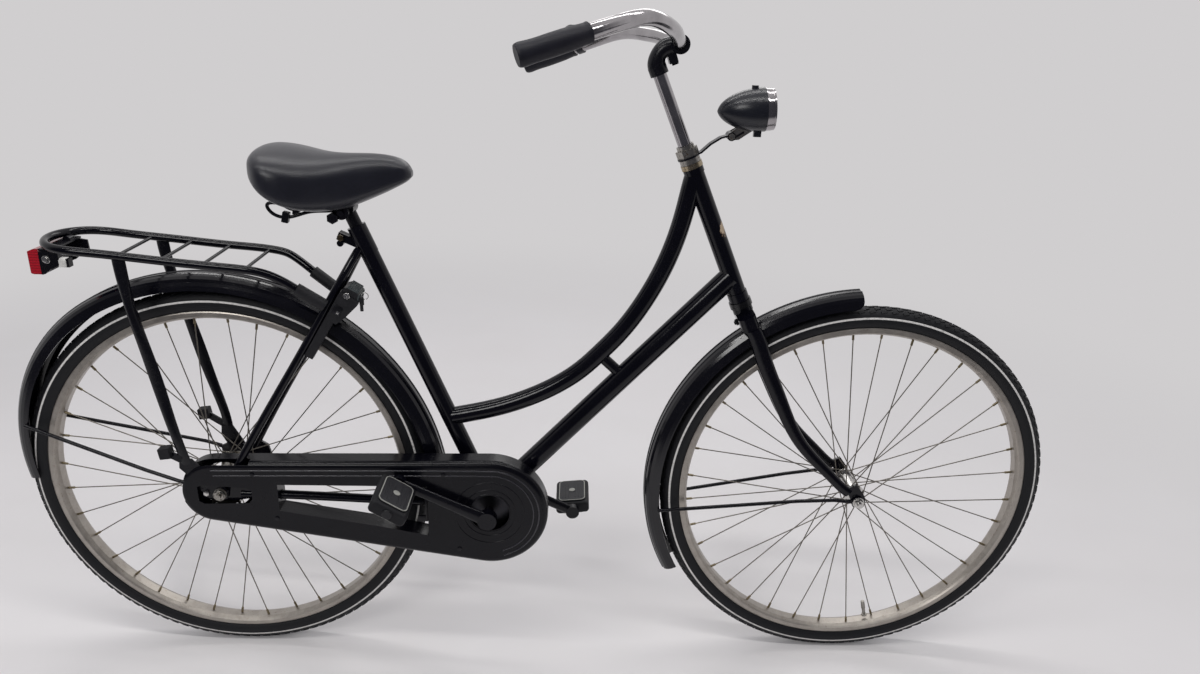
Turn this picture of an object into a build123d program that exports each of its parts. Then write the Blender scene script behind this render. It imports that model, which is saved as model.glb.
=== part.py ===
from math import atan2, cos, degrees, hypot, pi, radians, sin, sqrt
import os

from build123d import *

# City bicycle with a loop frame. Working frame: X forward from the rear axle, Y to the
# rider's left, Z up from the axle height. Every node is moved to the rider mount on export.

# Driving dimensions, mm and degrees
WHEEL_RADIUS = 357.5
TYRE_WIDTH = 40.0
RIM_SEAT_RADIUS = 317.5
RIM_DEPTH = 8.5
SPOKE_TURN = -3.6
WHEELBASE = 1146.0
HEAD_ANGLE = 66.5
FORK_RAKE = 76.8
HEAD_LOW = 397.0
HEAD_LENGTH = 246.0
HEAD_RADIUS = 16.0
STEERER_RADIUS = 12.7
SEAT_TUBE_TOP = (252.0, 476.0)
SEAT_TUBE_LOW = (461.5, -18.0)
SEAT_TUBE_RADIUS = 15.0
BRACKET_X = 472.0
BRACKET_Z = -35.0
BRACKET_WIDTH = 68.0
BRACKET_RADIUS = 20.5
CRANK_LENGTH = 170.0
CRANK_ANGLE = 154.5
RIGHT_PEDAL_PITCH = 31.0
LEFT_PEDAL_PITCH = -6.0
FRONT_GUARD_RADIUS = 388.0
REAR_GUARD_RADIUS = 385.0
REAR_GUARD_CENTER = (-12.0, 4.0)
REAR_GUARD_REAR = (122.0, -64.0)    # angle where the arc tightens towards the tail, and change of radius
REAR_GUARD_FRONT = (58.0, 44.0)     # angle where the arc opens towards the bracket, and change of radius
GUARD_HALF = 26.6
GUARD_DROP = 24.0
GUARD_CORNER = 14.0            # radius of the front mudguard's lower corners
FRONT_HUB_WIDTH = 100.0
REAR_HUB_WIDTH = 112.0
CASE_INNER = 34.0
CASE_OUTER = 71.0
CASE_FRONT_RADIUS = 104.0
CASE_REAR_RADIUS = 60.0
CARRIER_HALF_WIDTH = 65.0
CARRIER_TUBE_RADIUS = 7.0
RAIL_TURN = -190.0            # x behind which the carrier loop turns inward
BAR_RADIUS = 11.1
BAR_ROLL = 4.25
BAR_YAW = 2.1
SPOKE_COUNT = 36
SEAT_X = 150.0
SEAT_Z = 603.0
SPINDLE_RADIUS = 8.5
POST_RADIUS = 11.0
POST_TOP_Z = 508.0
LOOP_RADIUS = 16.0
DOWN_RADIUS = 19.0
DROPOUT_THICK = 5.0
AXLE_RADIUS = 5.0
FRONT_AXLE_RADIUS = 4.5
AXLE_END = 5.0
CHAIN_STAY_RADIUS = 8.0
SEAT_STAY_RADIUS = 7.0
CROWN_LOW = 351.4
HEADSET_TOP = 682.0
QUILL_RADIUS = 11.1
QUILL_TOP = 800.0
GUARD_THICK = 1.4
STAY_RADIUS = 3.3
LOCK_ANGLE = radians(59.5)
CASE_WALL = 1.5
RIGHT_CRANK_OUT = 90.0
LEFT_CRANK_OUT = 76.0
PEDAL_LENGTH = 92.0
PEDAL_PIN = 6.0
LAMP_TILT = 4.0

# Named clearances
RUN_GAP = 0.05
SEAT_GAP = 0.3
MOVE_GAP = 5.0

HEAD = radians(HEAD_ANGLE)
AXIS_FOOT = WHEELBASE - FORK_RAKE / sin(HEAD)
AXLE_S = -(WHEELBASE - AXIS_FOOT) * cos(HEAD)
POST_TOP = (SEAT_TUBE_LOW[0] - (POST_TOP_Z - SEAT_TUBE_LOW[1]) * (SEAT_TUBE_LOW[0] - SEAT_TUBE_TOP[0])
            / (SEAT_TUBE_TOP[1] - SEAT_TUBE_LOW[1]), POST_TOP_Z)
ORIGIN = (SEAT_X, 0.0, SEAT_Z)


def steer_point(s, f, y=0.0):
    """Point at height s along the steering axis, f ahead of it and y to the left."""
    x = AXIS_FOOT - s * cos(HEAD) + f * sin(HEAD)
    z = s * sin(HEAD) + f * cos(HEAD)
    return Vector(x, y, z)


def steer_plane(s):
    """Plane across the steering axis at height s: local X forward, local Z up the axis."""
    return Plane(steer_point(s, 0), x_dir=(sin(HEAD), 0, cos(HEAD)), z_dir=(-cos(HEAD), 0, sin(HEAD)))


def side_plane(y):
    """Plane facing the left with local X forward and local Y up, at y."""
    return Plane((0, y, 0), x_dir=(1, 0, 0), z_dir=(0, -1, 0))


def rod(start, end, radius, inner=0.0):
    """Round bar or tube between two points."""
    start = Vector(start)
    end = Vector(end)
    plane = Plane(start, z_dir=end - start)
    length = (end - start).length
    face = plane * Circle(radius)
    if inner > 0:
        face = face - plane * Circle(inner)
    return extrude(face, amount=length, dir=plane.z_dir)


def disc(center, axis, radius, thick, inner=0.0):
    """Round disc centred on a point, thick along the axis."""
    center = Vector(center)
    unit = Vector(axis).normalized()
    return rod(center - unit * (thick / 2), center + unit * (thick / 2), radius, inner)


def tube_along(path, radius, inner=0.0):
    """Round bar swept along a wire or edge."""
    plane = Plane(path @ 0, z_dir=path % 0)
    face = plane * Circle(radius)
    if inner > 0:
        face = face - plane * Circle(inner)
    return sweep(face, path=path)


def lofted(points, sizes, side=(0, 1, 0)):
    """Loft of ellipses that follow points; sizes are half widths across and along the side."""
    points = [Vector(p) for p in points]
    faces = []
    for i, point in enumerate(points):
        ahead = points[min(i + 1, len(points) - 1)]
        behind = points[max(i - 1, 0)]
        plane = Plane(point, x_dir=_square(side, ahead - behind), z_dir=ahead - behind)
        faces.append(plane * Ellipse(sizes[i][0], sizes[i][1]))
    return loft(faces)


def _square(side, normal):
    """The part of side that is square to normal."""
    normal = Vector(normal).normalized()
    side = Vector(side)
    return side - normal * side.dot(normal)


def plate(outline, y_low, y_high):
    """Flat piece from XZ outline points between two y values."""
    face = make_face(Polyline([(x, y_low, z) for x, z in outline], close=True))
    return extrude(face, amount=y_high - y_low, dir=(0, 1, 0))


def hex_nut(center, axis, width, thick, inner=0.0):
    """Hexagon nut, width across flats."""
    unit = Vector(axis).normalized()
    plane = Plane(Vector(center) - unit * (thick / 2), z_dir=unit)
    face = plane * RegularPolygon(width / 2, 6, major_radius=False)
    if inner > 0:
        face = face - plane * Circle(inner)
    return extrude(face, amount=thick, dir=unit)


def mirrored(shape):
    """The same piece on the other side of the bicycle."""
    return mirror(shape, about=Plane.XZ)


def both(shape):
    """A piece and its mirror image as one compound of two solids."""
    return solids_of(shape) + solids_of(mirrored(shape))


def solids_of(shape):
    """List of the solids in a shape or list."""
    if isinstance(shape, (list, tuple)):
        return [s for item in shape for s in solids_of(item)]
    return list(shape.solids())


def cut(shapes, tools):
    """Each solid less every tool."""
    result = []
    for solid in solids_of(shapes):
        for tool in solids_of(tools):
            solid = solid - tool
        result.extend(solids_of(solid))
    return result


def fused(shapes):
    """One solid from touching pieces."""
    parts = solids_of(shapes)
    return parts[0].fuse(*parts[1:]) if len(parts) > 1 else parts[0]


def ring_profile(center_x, points):
    """Revolve a closed (y, r) outline about the wheel axis at center_x."""
    face = make_face(Polyline([(center_x, y, r) for y, r in points], close=True))
    return revolve(face, axis=Axis((center_x, 0, 0), (0, 1, 0)), revolution_arc=360)


def tyre(x):
    """Round tyre section with a bead that sits in the rim."""
    half = TYRE_WIDTH / 2
    middle = WHEEL_RADIUS - half
    points = []
    for step in range(0, 29):
        angle = radians(-62 + step * (304 / 28))
        points.append((x, half * cos(angle), middle + half * sin(angle)))
    bead = 10.7
    points.append((x, -bead, RIM_SEAT_RADIUS))
    points.append((x, bead, RIM_SEAT_RADIUS))
    outline = Polyline(points, close=True)
    face = make_face(outline)
    body = revolve(face, axis=Axis((x, 0, 0), (0, 1, 0)), revolution_arc=360)
    return body - rim(x)


def rim(x):
    """Steel rim: a channel that holds the bead, with rounded flanks."""
    seat = RIM_SEAT_RADIUS
    points = [(-15.5, seat + 6), (-16.5, seat + 4), (-16.5, seat - 3.2), (-13.5, seat - 5.8), (-8, seat - RIM_DEPTH)]
    points += [(8, seat - RIM_DEPTH), (13.5, seat - 5.8), (16.5, seat - 3.2), (16.5, seat + 4), (15.5, seat + 6)]
    points += [(13, seat + 5), (12, seat), (8, seat), (8, seat - 4.5), (-8, seat - 4.5), (-8, seat), (-12, seat), (-13, seat + 5)]
    return ring_profile(x, points)


def spokes(x, flange_radius, flange_y, flange_half):
    """Crossed spokes with nipples, from both flanges to the rim."""
    parts = []
    per_side = SPOKE_COUNT // 2
    rim_inner = RIM_SEAT_RADIUS - RIM_DEPTH - 0.2
    for side in (-1, 1):
        for i in range(per_side):
            lean = 1 if i % 2 else -1
            hub_angle = radians(SPOKE_TURN) + 2 * pi * i / per_side + (2 * pi / SPOKE_COUNT if side > 0 else 0)
            rim_angle = hub_angle + lean * radians(60)
            hub_y = side * (flange_y + lean * (flange_half + 1.7))
            rim_y = side * (3.0 + lean * 1.6)
            start = Vector(x + flange_radius * cos(hub_angle), hub_y, flange_radius * sin(hub_angle))
            end = Vector(x + rim_inner * cos(rim_angle), rim_y, rim_inner * sin(rim_angle))
            unit = (end - start).normalized()
            wire = rod(start, end - unit * 10, 1.0)
            nipple = rod(end - unit * 11, end - unit * 0.6, 2.1)
            parts.append(fused([wire, nipple]))
    return parts


def hub(x, width, shell_radius, flange_radius, flange_y, flange_half, bore):
    """Hub shell with two flanges and a bore for the axle."""
    shell = disc((x, 0, 0), (0, 1, 0), shell_radius, 2 * flange_y)
    parts = [shell]
    for side in (-1, 1):
        parts.append(disc((x, side * flange_y, 0), (0, 1, 0), flange_radius, 2 * flange_half))
        neck = (width / 2 - flange_y - 4.0)
        parts.append(disc((x, side * (flange_y + neck / 2), 0), (0, 1, 0), bore + 5.5, neck))
    body = fused(parts)
    return body - rod((x, -width, 0), (x, width, 0), bore)


# Frame tubes

def seat_axis(z):
    """Point on the seat tube axis at height z."""
    run = (SEAT_TUBE_LOW[0] - SEAT_TUBE_TOP[0]) / (SEAT_TUBE_TOP[1] - SEAT_TUBE_LOW[1])
    return Vector(SEAT_TUBE_LOW[0] - (z - SEAT_TUBE_LOW[1]) * run, 0, z)


def head_tube():
    """Head tube with a bore for the steerer."""
    low = steer_point(HEAD_LOW, 0)
    high = steer_point(HEAD_LOW + HEAD_LENGTH, 0)
    body = rod(low, high, HEAD_RADIUS)
    collar_low = rod(low, steer_point(HEAD_LOW + 16, 0), HEAD_RADIUS + 1.6)
    collar_high = rod(steer_point(HEAD_LOW + HEAD_LENGTH - 10, 0), high, HEAD_RADIUS + 1.2)
    body = fused([body, collar_low, collar_high])
    return body - rod(steer_point(HEAD_LOW - 5, 0), steer_point(HEAD_LOW + HEAD_LENGTH + 5, 0), HEAD_RADIUS - 1.6)


def headset_cups():
    """Pressed cups at both ends of the head tube."""
    bore = STEERER_RADIUS + RUN_GAP
    low = rod(steer_point(HEAD_LOW - 11, 0), steer_point(HEAD_LOW, 0), HEAD_RADIUS + 3.5, bore)
    top = HEAD_LOW + HEAD_LENGTH
    high = rod(steer_point(top, 0), steer_point(top + 8, 0), HEAD_RADIUS + 2.2, bore)
    return [low, high]


def bottom_bracket_shell():
    """Shell that the tubes meet, bored for the spindle."""
    center = (BRACKET_X, 0, BRACKET_Z)
    return disc(center, (0, 1, 0), BRACKET_RADIUS, BRACKET_WIDTH, SPINDLE_RADIUS + RUN_GAP)


def bracket_core():
    """Outside of the shell, for coping tubes."""
    return disc((BRACKET_X, 0, BRACKET_Z), (0, 1, 0), BRACKET_RADIUS, BRACKET_WIDTH)


def seat_tube_core(extra=0.0):
    """Outside of the seat tube, for coping what meets it."""
    return rod(seat_axis(BRACKET_Z), Vector(SEAT_TUBE_TOP[0], 0, SEAT_TUBE_TOP[1]), SEAT_TUBE_RADIUS + extra)


def seat_tube():
    """Seat tube with its clamp ears and the bore for the post."""
    low = seat_axis(BRACKET_Z)
    top = seat_axis(SEAT_TUBE_TOP[1])
    tube = rod(low, top, SEAT_TUBE_RADIUS)
    lug = rod(seat_axis(SEAT_TUBE_TOP[1] - 46), top, SEAT_TUBE_RADIUS + 0.8)
    ear_at = seat_axis(SEAT_TUBE_TOP[1] - 18)
    ears = Box(36, 17, 13).moved(Location(Vector(ear_at.X - 21, 0, ear_at.Z - 5), (0, 23, 0)))
    bolt = disc((ear_at.X - 33, 0, ear_at.Z - 10), (0, 1, 0), 5.5, 26)
    body = fused([tube, lug, ears, bolt])
    bore = rod(seat_axis(SEAT_TUBE_TOP[1] - 150), seat_axis(SEAT_TUBE_TOP[1] + 20), POST_RADIUS)
    slot = Box(34, 2.2, 60).moved(Location(Vector(ear_at.X - 20, 0, ear_at.Z), (0, -23.6, 0)))
    lower = rod(seat_axis(BRACKET_Z - 20), seat_axis(SEAT_TUBE_TOP[1] - 150), SEAT_TUBE_RADIUS - 1.6)
    body = body - bore - slot - lower - bracket_core()
    return max(solids_of(body), key=lambda s: s.volume)


def loop_path():
    """Centre line of the curved top tube, from the head tube down to the seat tube."""
    points = [(812, 586), (806, 560), (799, 522), (788, 475), (770, 422), (739, 358), (700, 299)]
    points += [(666, 260), (632, 226), (597, 200), (545, 172), (490, 151), (418, 133), (404, 130)]
    return Spline([(x, 0, z) for x, z in points])


def loop_top_tube():
    """Curved top tube, coped to the head and seat tubes."""
    tube = tube_along(loop_path(), LOOP_RADIUS)
    head = rod(steer_point(HEAD_LOW, 0), steer_point(HEAD_LOW + HEAD_LENGTH, 0), HEAD_RADIUS)
    collar = rod(steer_point(HEAD_LOW + HEAD_LENGTH - 10, 0), steer_point(HEAD_LOW + HEAD_LENGTH, 0), HEAD_RADIUS + 1.2)
    return largest(cut(tube, [head, collar, seat_tube_core()]))


def largest(shapes):
    """The biggest solid of a shape."""
    return max(solids_of(shapes), key=lambda s: s.volume)


def down_axis(t):
    """Point on the down tube axis, t from the bracket (0) to the head tube (1)."""
    low = Vector(BRACKET_X + 4.6, 0, BRACKET_Z)
    high = Vector(steer_point(HEAD_LOW + 46.6, 0))
    return low + (high - low) * t


def down_tube():
    """Straight down tube with the small brace that reaches the top tube."""
    tube = rod(down_axis(0), down_axis(1), DOWN_RADIUS)
    start = down_axis(0.567)
    run = (down_axis(1) - down_axis(0)).normalized()
    brace = rod(start, start + Vector(-run.Z, 0, run.X) * 58, 10.0)
    body = fused([tube, brace])
    head = rod(steer_point(HEAD_LOW - 2, 0), steer_point(HEAD_LOW + HEAD_LENGTH, 0), HEAD_RADIUS)
    collar = rod(steer_point(HEAD_LOW - 2, 0), steer_point(HEAD_LOW + 16, 0), HEAD_RADIUS + 1.6)
    body = cut(body, [head, collar, bracket_core(), seat_tube_core(), tube_along(loop_path(), LOOP_RADIUS)])
    return largest(body)


def rear_dropouts():
    """Slotted rear plates, one each side."""
    y = REAR_HUB_WIDTH / 2
    outline = [(-42, 30), (-30, 36), (6, 34), (30, 44), (46, 34), (52, 6), (50, -12), (18, -17), (-34, -14), (-40, 6)]
    body = plate(outline, y, y + DROPOUT_THICK)
    slot = Box(50, 20, 2 * AXLE_RADIUS + 0.1).moved(Location((-25, y, 0)))
    hole = disc((0, y, 0), (0, 1, 0), AXLE_RADIUS + RUN_GAP, 30)
    return both(body - slot - hole)


def chain_stay_path():
    """Centre line of the left chain stay."""
    points = [(34, REAR_HUB_WIDTH / 2 + 2.5, -3), (160, 50, -11), (300, 42.5, -21)]
    points += [(372, 37.0, -26), (430, 28, -31), (BRACKET_X - 10, 23, BRACKET_Z + 1)]
    return Spline(points)


def chain_stays():
    """Two chain stays joined by a bridge behind the bracket."""
    stay = largest(cut(tube_along(chain_stay_path(), CHAIN_STAY_RADIUS), [bracket_core()] + rear_dropouts()[:1]))
    bridge = cut(rod((404, -36, -28), (404, 36, -28), 6), [stay, mirrored(stay)])
    return [stay, mirrored(stay), largest(bridge)]


def seat_stay_path():
    """Centre line of the left seat stay."""
    points = [(22, REAR_HUB_WIDTH / 2 + 2.5, 32), (77, 52, 130), (172, 38.5, 290), (212, 35, 360)]
    points += [(238, 25.5, 406), (256, 10, 438)]
    return Spline(points)


def seat_stays():
    """Two seat stays with a bridge over the mudguard."""
    stay = tube_along(seat_stay_path(), SEAT_STAY_RADIUS)
    reach = REAR_GUARD_RADIUS + 1.2 + SEAT_GAP + 6
    bridge_x = REAR_GUARD_CENTER[0] + reach * cos(radians(57.8))
    bridge_z = REAR_GUARD_CENTER[1] + reach * sin(radians(57.8))
    bridge = rod((bridge_x, -36, bridge_z), (bridge_x, 36, bridge_z), 6)
    body = fused([stay, mirrored(stay), bridge])
    lug = rod(seat_axis(SEAT_TUBE_TOP[1] - 46), seat_axis(SEAT_TUBE_TOP[1]), SEAT_TUBE_RADIUS + 0.8)
    ear_at = seat_axis(SEAT_TUBE_TOP[1] - 18)
    ears = Box(40, 28, 20).moved(Location(Vector(ear_at.X - 21, 0, ear_at.Z - 5), (0, 23, 0)))
    body = cut(body, [seat_tube_core(), lug, ears] + rear_dropouts())
    return [s for s in body if s.volume > 2000]


# Fork and steering

def crown_block():
    """Outside of the crown block."""
    base = steer_plane(CROWN_LOW)
    return extrude(base * RectangleRounded(31, 92, 12), amount=24, dir=base.z_dir)


def fork_crown():
    """Crown block, race and steerer tube."""
    race = rod(steer_point(CROWN_LOW + 24, 0), steer_point(HEAD_LOW - 11 - SEAT_GAP, 0), HEAD_RADIUS + 1.5)
    steerer = rod(steer_point(CROWN_LOW, 0), steer_point(HEADSET_TOP, 0), STEERER_RADIUS)
    body = fused([crown_block(), race, steerer])
    return body - rod(steer_point(CROWN_LOW + 40, 0), steer_point(HEADSET_TOP + 5, 0), QUILL_RADIUS)


def blade_line():
    """Fork blade centre points: height along the axis, offset ahead, side, half sizes."""
    return [
        (CROWN_LOW, 2, 38.0, 14.0, 9.6),
        (290, 3, 38.8, 14.0, 9.6),
        (235, 4.5, 40.0, 13.4, 9.2),
        (185, 6.5, 41.6, 12.4, 8.8),
        (134, 11, 43.6, 11.2, 8.2),
        (83, 25, 46.4, 10.2, 7.6),
        (27, 48, 50.0, 9.4, 7.0),
        (AXLE_S + 22, FORK_RAKE - 10, FRONT_HUB_WIDTH / 2 + 2.5, 9.0, 5.2),
    ]


def fork_blades():
    """Raked blades with flat slotted tips."""
    points = []
    sizes = []
    for s, f, y, across, along in blade_line():
        points.append(steer_point(s, f, y))
        sizes.append((along, across))
    blade = lofted(points, sizes)
    y = FRONT_HUB_WIDTH / 2
    tip = [(-24, 26), (-6, 34), (8, 16), (14, 4), (13, -10), (4, -14), (-8, -11), (-13, 2)]
    tip = plate([(WHEELBASE + px, pz) for px, pz in tip], y, y + 5)
    hole = disc((WHEELBASE, y, 0), (0, 1, 0), FRONT_AXLE_RADIUS + RUN_GAP, 30)
    slot = Box(2 * FRONT_AXLE_RADIUS + 0.1, 20, 30).moved(Location((WHEELBASE, y, -15)))
    room = disc((WHEELBASE, y + 10, 0), (0, 1, 0), 13, 10)
    blade = cut(fused([blade, tip]) - hole - slot - room, crown_block())
    return both(largest(blade))


def headset_nuts():
    """Adjusting cone, washer and lock nut above the head tube."""
    start = HEAD_LOW + HEAD_LENGTH + 8 + SEAT_GAP
    parts = [rod(steer_point(start, 0), steer_point(start + 9, 0), HEAD_RADIUS + 1.2)]
    parts.append(hex_nut(steer_point(start + 18, 0), steer_point(1, 0) - steer_point(0, 0), 32, 12))
    cap = rod(steer_point(start + 24, 0), steer_point(HEADSET_TOP, 0), HEAD_RADIUS - 1.5)
    parts[1] = fused([parts[1], cap])
    bore = rod(steer_point(start - 5, 0), steer_point(HEADSET_TOP + 5, 0), STEERER_RADIUS)
    return cut(parts, bore)


def stem_quill():
    """Plated quill from inside the steerer up to the clamp."""
    return rod(steer_point(HEADSET_TOP - 60, 0), steer_point(QUILL_TOP, 0), QUILL_RADIUS)


def bar_center():
    """Middle of the handlebar."""
    return steer_point(QUILL_TOP + 32, 44.7)


def stem_clamp():
    """Angled clamp head with its bolt ears."""
    low = steer_point(QUILL_TOP, 0)
    c = bar_center()
    collar = rod(low, steer_point(QUILL_TOP + 14, 0), 15.0)
    neck = lofted(
        [steer_point(QUILL_TOP + 6, 0), c - Vector(34, 0, 24), c - Vector(26, 0, 10), c - Vector(10, 0, 3)],
        [(15.0, 14.6), (15.0, 13.4), (16.0, 13.6), (17.0, 14.5)],
    )
    clamp = disc(c, (0, 1, 0), BAR_RADIUS + 4.0, 36)
    ears = Box(22, 24, 14).moved(Location(c + Vector(-11, 0, -18), (0, 70, 0)))
    bolt = rod(c + Vector(-4, 0, -31), c + Vector(-14, 0, -8), 5.5)
    body = fused([collar, neck, clamp, ears, bolt])
    return largest(cut(body, [handlebar_solid(), stem_quill()]))


def bar_points():
    """Left half of the bar: ahead, side, up, from the middle to the grip end."""
    c = bar_center()
    offsets = [(0, 0, 0), (-6, 32, 3.4), (-19, 82, 12.4), (-40, 135, 19.5), (-74, 190, 23.5)]
    offsets += [(-115, 230, 12.2), (-170, 262, -7.6), (-242, 285, -33)]
    return [(c.X + x, y, c.Z + z) for x, y, z in offsets]


def rolled(shape):
    """Turn a bar piece the little that the bar is rolled and twisted in its clamp."""
    across = Axis(bar_center(), (1, 0, 0))
    upward = Axis(bar_center(), (0, 0, 1))
    return [s.rotate(across, -BAR_ROLL).rotate(upward, BAR_YAW) for s in solids_of(shape)]


def bar_path(side):
    """Centre line of one half of the bar."""
    return Spline([(x, side * y, z) for x, y, z in bar_points()])


def handlebar_solid():
    """The whole bar before boring."""
    points = bar_points()
    right = [(x, -y, z) for x, y, z in reversed(points)]
    left = points[1:]
    path = Spline(right + left)
    return rolled(tube_along(path, BAR_RADIUS))[0]


def handlebar():
    """Swept-back bar with open ends."""
    return handlebar_solid()


def grip(side):
    """Rubber grip over the last stretch of the bar."""
    path = bar_path(side)
    start = 0.765
    shell = [path @ (start + step * (1 - start) / 6) for step in range(7)]
    shell.append(Vector(path @ 1.0) + Vector(path % 1.0) * 4)
    sizes = [(14.2, 14.2), (14.4, 14.4), (15.0, 15.0), (15.2, 15.2), (15.0, 15.0), (15.0, 15.0), (15.4, 15.4), (13.8, 13.8)]
    return rolled(lofted(shell, sizes, side=(0, 0, 1)))


def grips():
    """Both grips, bored for the bar."""
    bar = handlebar_solid()
    return cut(grip(1) + grip(-1), bar)


def bell_spot():
    """Point on the left half of the bar that carries the bell."""
    return Vector(bar_path(1) @ 0.735)


def bell():
    """Dome, base and clamp ring on the left of the bar."""
    spot = bell_spot()
    along = Vector(bar_path(1) % 0.735)
    up = Vector(0, 0, 1)
    back = Vector(-12, 0, 0)
    ring = rod(spot - along * 5, spot + along * 5, BAR_RADIUS + 2.6)
    post = rod(spot + up * 8, spot + up * 23 + back * 0.7, 5)
    curve = [(0, 37), (6, 36.6), (11, 35.2), (15, 32.4), (17.6, 28.4), (18, 23), (0, 23)]
    centre = spot + back
    dome = make_face(Polyline([(centre.X + r, centre.Y, centre.Z + h) for r, h in curve], close=True))
    dome = revolve(dome, axis=Axis(centre, (0, 0, 1)), revolution_arc=360)
    base = rod(centre + up * 20.5, centre + up * 23.5, 16)
    lever = Box(14, 12, 3).moved(Location(centre + up * 21.5 + Vector(-20, 0, 0)))
    body = rolled(fused([ring, post, base, dome, lever]))
    return largest(cut(body, handlebar_solid()))


# Mudguards

def guard_profile(radius):
    """Half outline of a mudguard section as (y, r), crown to edge, with a raised rib."""
    line = [(0, 0), (4.5, -0.1), (6.2, 1.0), (8.6, 1.0), (10.4, -0.8), (16, -2.8), (20.5, -6.6)]
    line += [(23.8, -11.6), (25.8, -17.5), (26.6, -GUARD_DROP)]
    return [(y, radius + r) for y, r in line]


def guard_shell(center, radius, start, end):
    """Pressed mudguard arc between two angles about its own centre, with hemmed edges."""
    x, z = center
    outer = guard_profile(radius)
    inner = []
    for i, (y, r) in enumerate(outer):
        y0, r0 = outer[max(i - 1, 0)]
        y1, r1 = outer[min(i + 1, len(outer) - 1)]
        length = hypot(y1 - y0, r1 - r0)
        inner.append((y + (r1 - r0) / length * GUARD_THICK, r - (y1 - y0) / length * GUARD_THICK))
    inner[0] = (0, radius - GUARD_THICK)
    edge_y, edge_r = outer[-1]
    hem = [(edge_y, edge_r - 2.4), (edge_y - 2.6, edge_r - 2.4), (edge_y - 2.6, edge_r)]
    right = outer + hem + inner[::-1]
    left = [(-y, r) for y, r in right[::-1]]
    loop = []
    for point in right + left:
        if not loop or hypot(point[0] - loop[-1][0], point[1] - loop[-1][1]) > 0.01:
            loop.append(point)
    if hypot(loop[0][0] - loop[-1][0], loop[0][1] - loop[-1][1]) < 0.01:
        loop.pop()
    turn = radians(start)
    points = [(x + r * cos(turn), y, z + r * sin(turn)) for y, r in loop]
    face = make_face(Polyline(points, close=True))
    return revolve(face, axis=Axis((x, 0, z), (0, -1, 0)), revolution_arc=end - start)


def guard_edge(center, radius, angle):
    """Point beside the edge of a mudguard where a stay ends, on the left."""
    r = radius - GUARD_DROP + 1.5
    y = GUARD_HALF + STAY_RADIUS + SEAT_GAP
    return Vector(center[0] + r * cos(radians(angle)), y, center[1] + r * sin(radians(angle)))


def guard_stay(top, foot, bends, hole):
    """Wire stay from an eye near the axle to the mudguard edge, with its bends."""
    foot = Vector(foot)
    bends = [Vector(p) for p in bends]
    unit = (bends[0] - foot).normalized()
    outward = 1 if foot.Y > 0 else -1
    start = foot + unit * 16 + Vector(0, outward * 1.4, 0)
    line = [start] + bends + [Vector(top)]
    tab = Box(14, 2.4, 7).moved(Location(foot + unit * 13, (0, degrees(atan2(unit.Z, -unit.X)), 0)))
    parts = [disc(foot, (0, 1, 0), max(8.5, hole + 5), 2.4, hole), tab]
    for low, high in zip(line, line[1:]):
        parts.append(rod(low, high, STAY_RADIUS))
    for point in [start] + bends:
        parts.append(Sphere(STAY_RADIUS).moved(Location(point)))
    return largest(cut(fused(parts), disc(foot, (0, 1, 0), hole, 20)))


def guard_corner(center, radius, angle):
    """Cutter that rounds the lower corners at the front end of a mudguard."""
    turn = radians(angle)
    out = Vector(cos(turn), 0, sin(turn))
    along = Vector(-sin(turn), 0, cos(turn))
    edge = Vector(center[0], 0, center[1]) + out * (radius - GUARD_DROP - 2.4)
    middle = edge + (out + along) * GUARD_CORNER
    far = edge - (out + along) * 4
    square = [far, middle - along * (GUARD_CORNER + 4), middle, middle - out * (GUARD_CORNER + 4)]
    block = plate([(v.X, v.Z) for v in square], -40, 40)
    round_off = rod((middle.X, -45, middle.Z), (middle.X, 45, middle.Z), GUARD_CORNER)
    return block - round_off


def front_mudguard():
    """Front mudguard under the crown, with rounded front corners."""
    shell = guard_shell((WHEELBASE, 0), FRONT_GUARD_RADIUS, 94.7, 207.7)
    return largest(shell - guard_corner((WHEELBASE, 0), FRONT_GUARD_RADIUS, 94.7))


def front_guard_stays():
    """Stays from the front axle to the rear of the front mudguard."""
    y = FRONT_HUB_WIDTH / 2 + 5 + SEAT_GAP + 1.2
    top = guard_edge((WHEELBASE, 0), FRONT_GUARD_RADIUS, 186.6)
    bends = [(WHEELBASE - 45, y + 0.6, 3), (WHEELBASE - 110, 51, -4)]
    return both(guard_stay(top, (WHEELBASE, y, 0), bends, FRONT_AXLE_RADIUS + RUN_GAP))


def rear_guard_arc(angle, change):
    """Centre and radius of an arc that meets the rear mudguard's middle arc at an angle."""
    x, z = REAR_GUARD_CENTER
    return (x - change * cos(radians(angle)), z - change * sin(radians(angle))), REAR_GUARD_RADIUS + change


def rear_mudguard():
    """Rear mudguard from the bracket end over the wheel to its tail, in three arcs."""
    tail, tail_radius = rear_guard_arc(*REAR_GUARD_REAR)
    nose, nose_radius = rear_guard_arc(*REAR_GUARD_FRONT)
    parts = [
        guard_shell(nose, nose_radius, 7.7, REAR_GUARD_FRONT[0]),
        guard_shell(REAR_GUARD_CENTER, REAR_GUARD_RADIUS, REAR_GUARD_FRONT[0], REAR_GUARD_REAR[0]),
        guard_shell(tail, tail_radius, REAR_GUARD_REAR[0], 191.0),
    ]
    return largest(fused(parts))


def rear_guard_stays():
    """Stays from the dropouts to the tail of the rear mudguard; the right foot sits lower."""
    y = REAR_HUB_WIDTH / 2 + DROPOUT_THICK + SEAT_GAP + 1.2
    parts = []
    for side, foot_z in ((-1, 10.0), (1, 22.0)):
        top = guard_edge(*rear_guard_arc(*REAR_GUARD_REAR), 170.5)
        bends = [(-72, side * (y + 1.6), foot_z + 13), (-130, side * (y - 6), foot_z + 29)]
        top = Vector(top.X, side * top.Y, top.Z)
        parts.append(guard_stay(top, (-30, side * y, foot_z), bends, 3.3))
    return parts


# Carrier and what hangs on it

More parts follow.
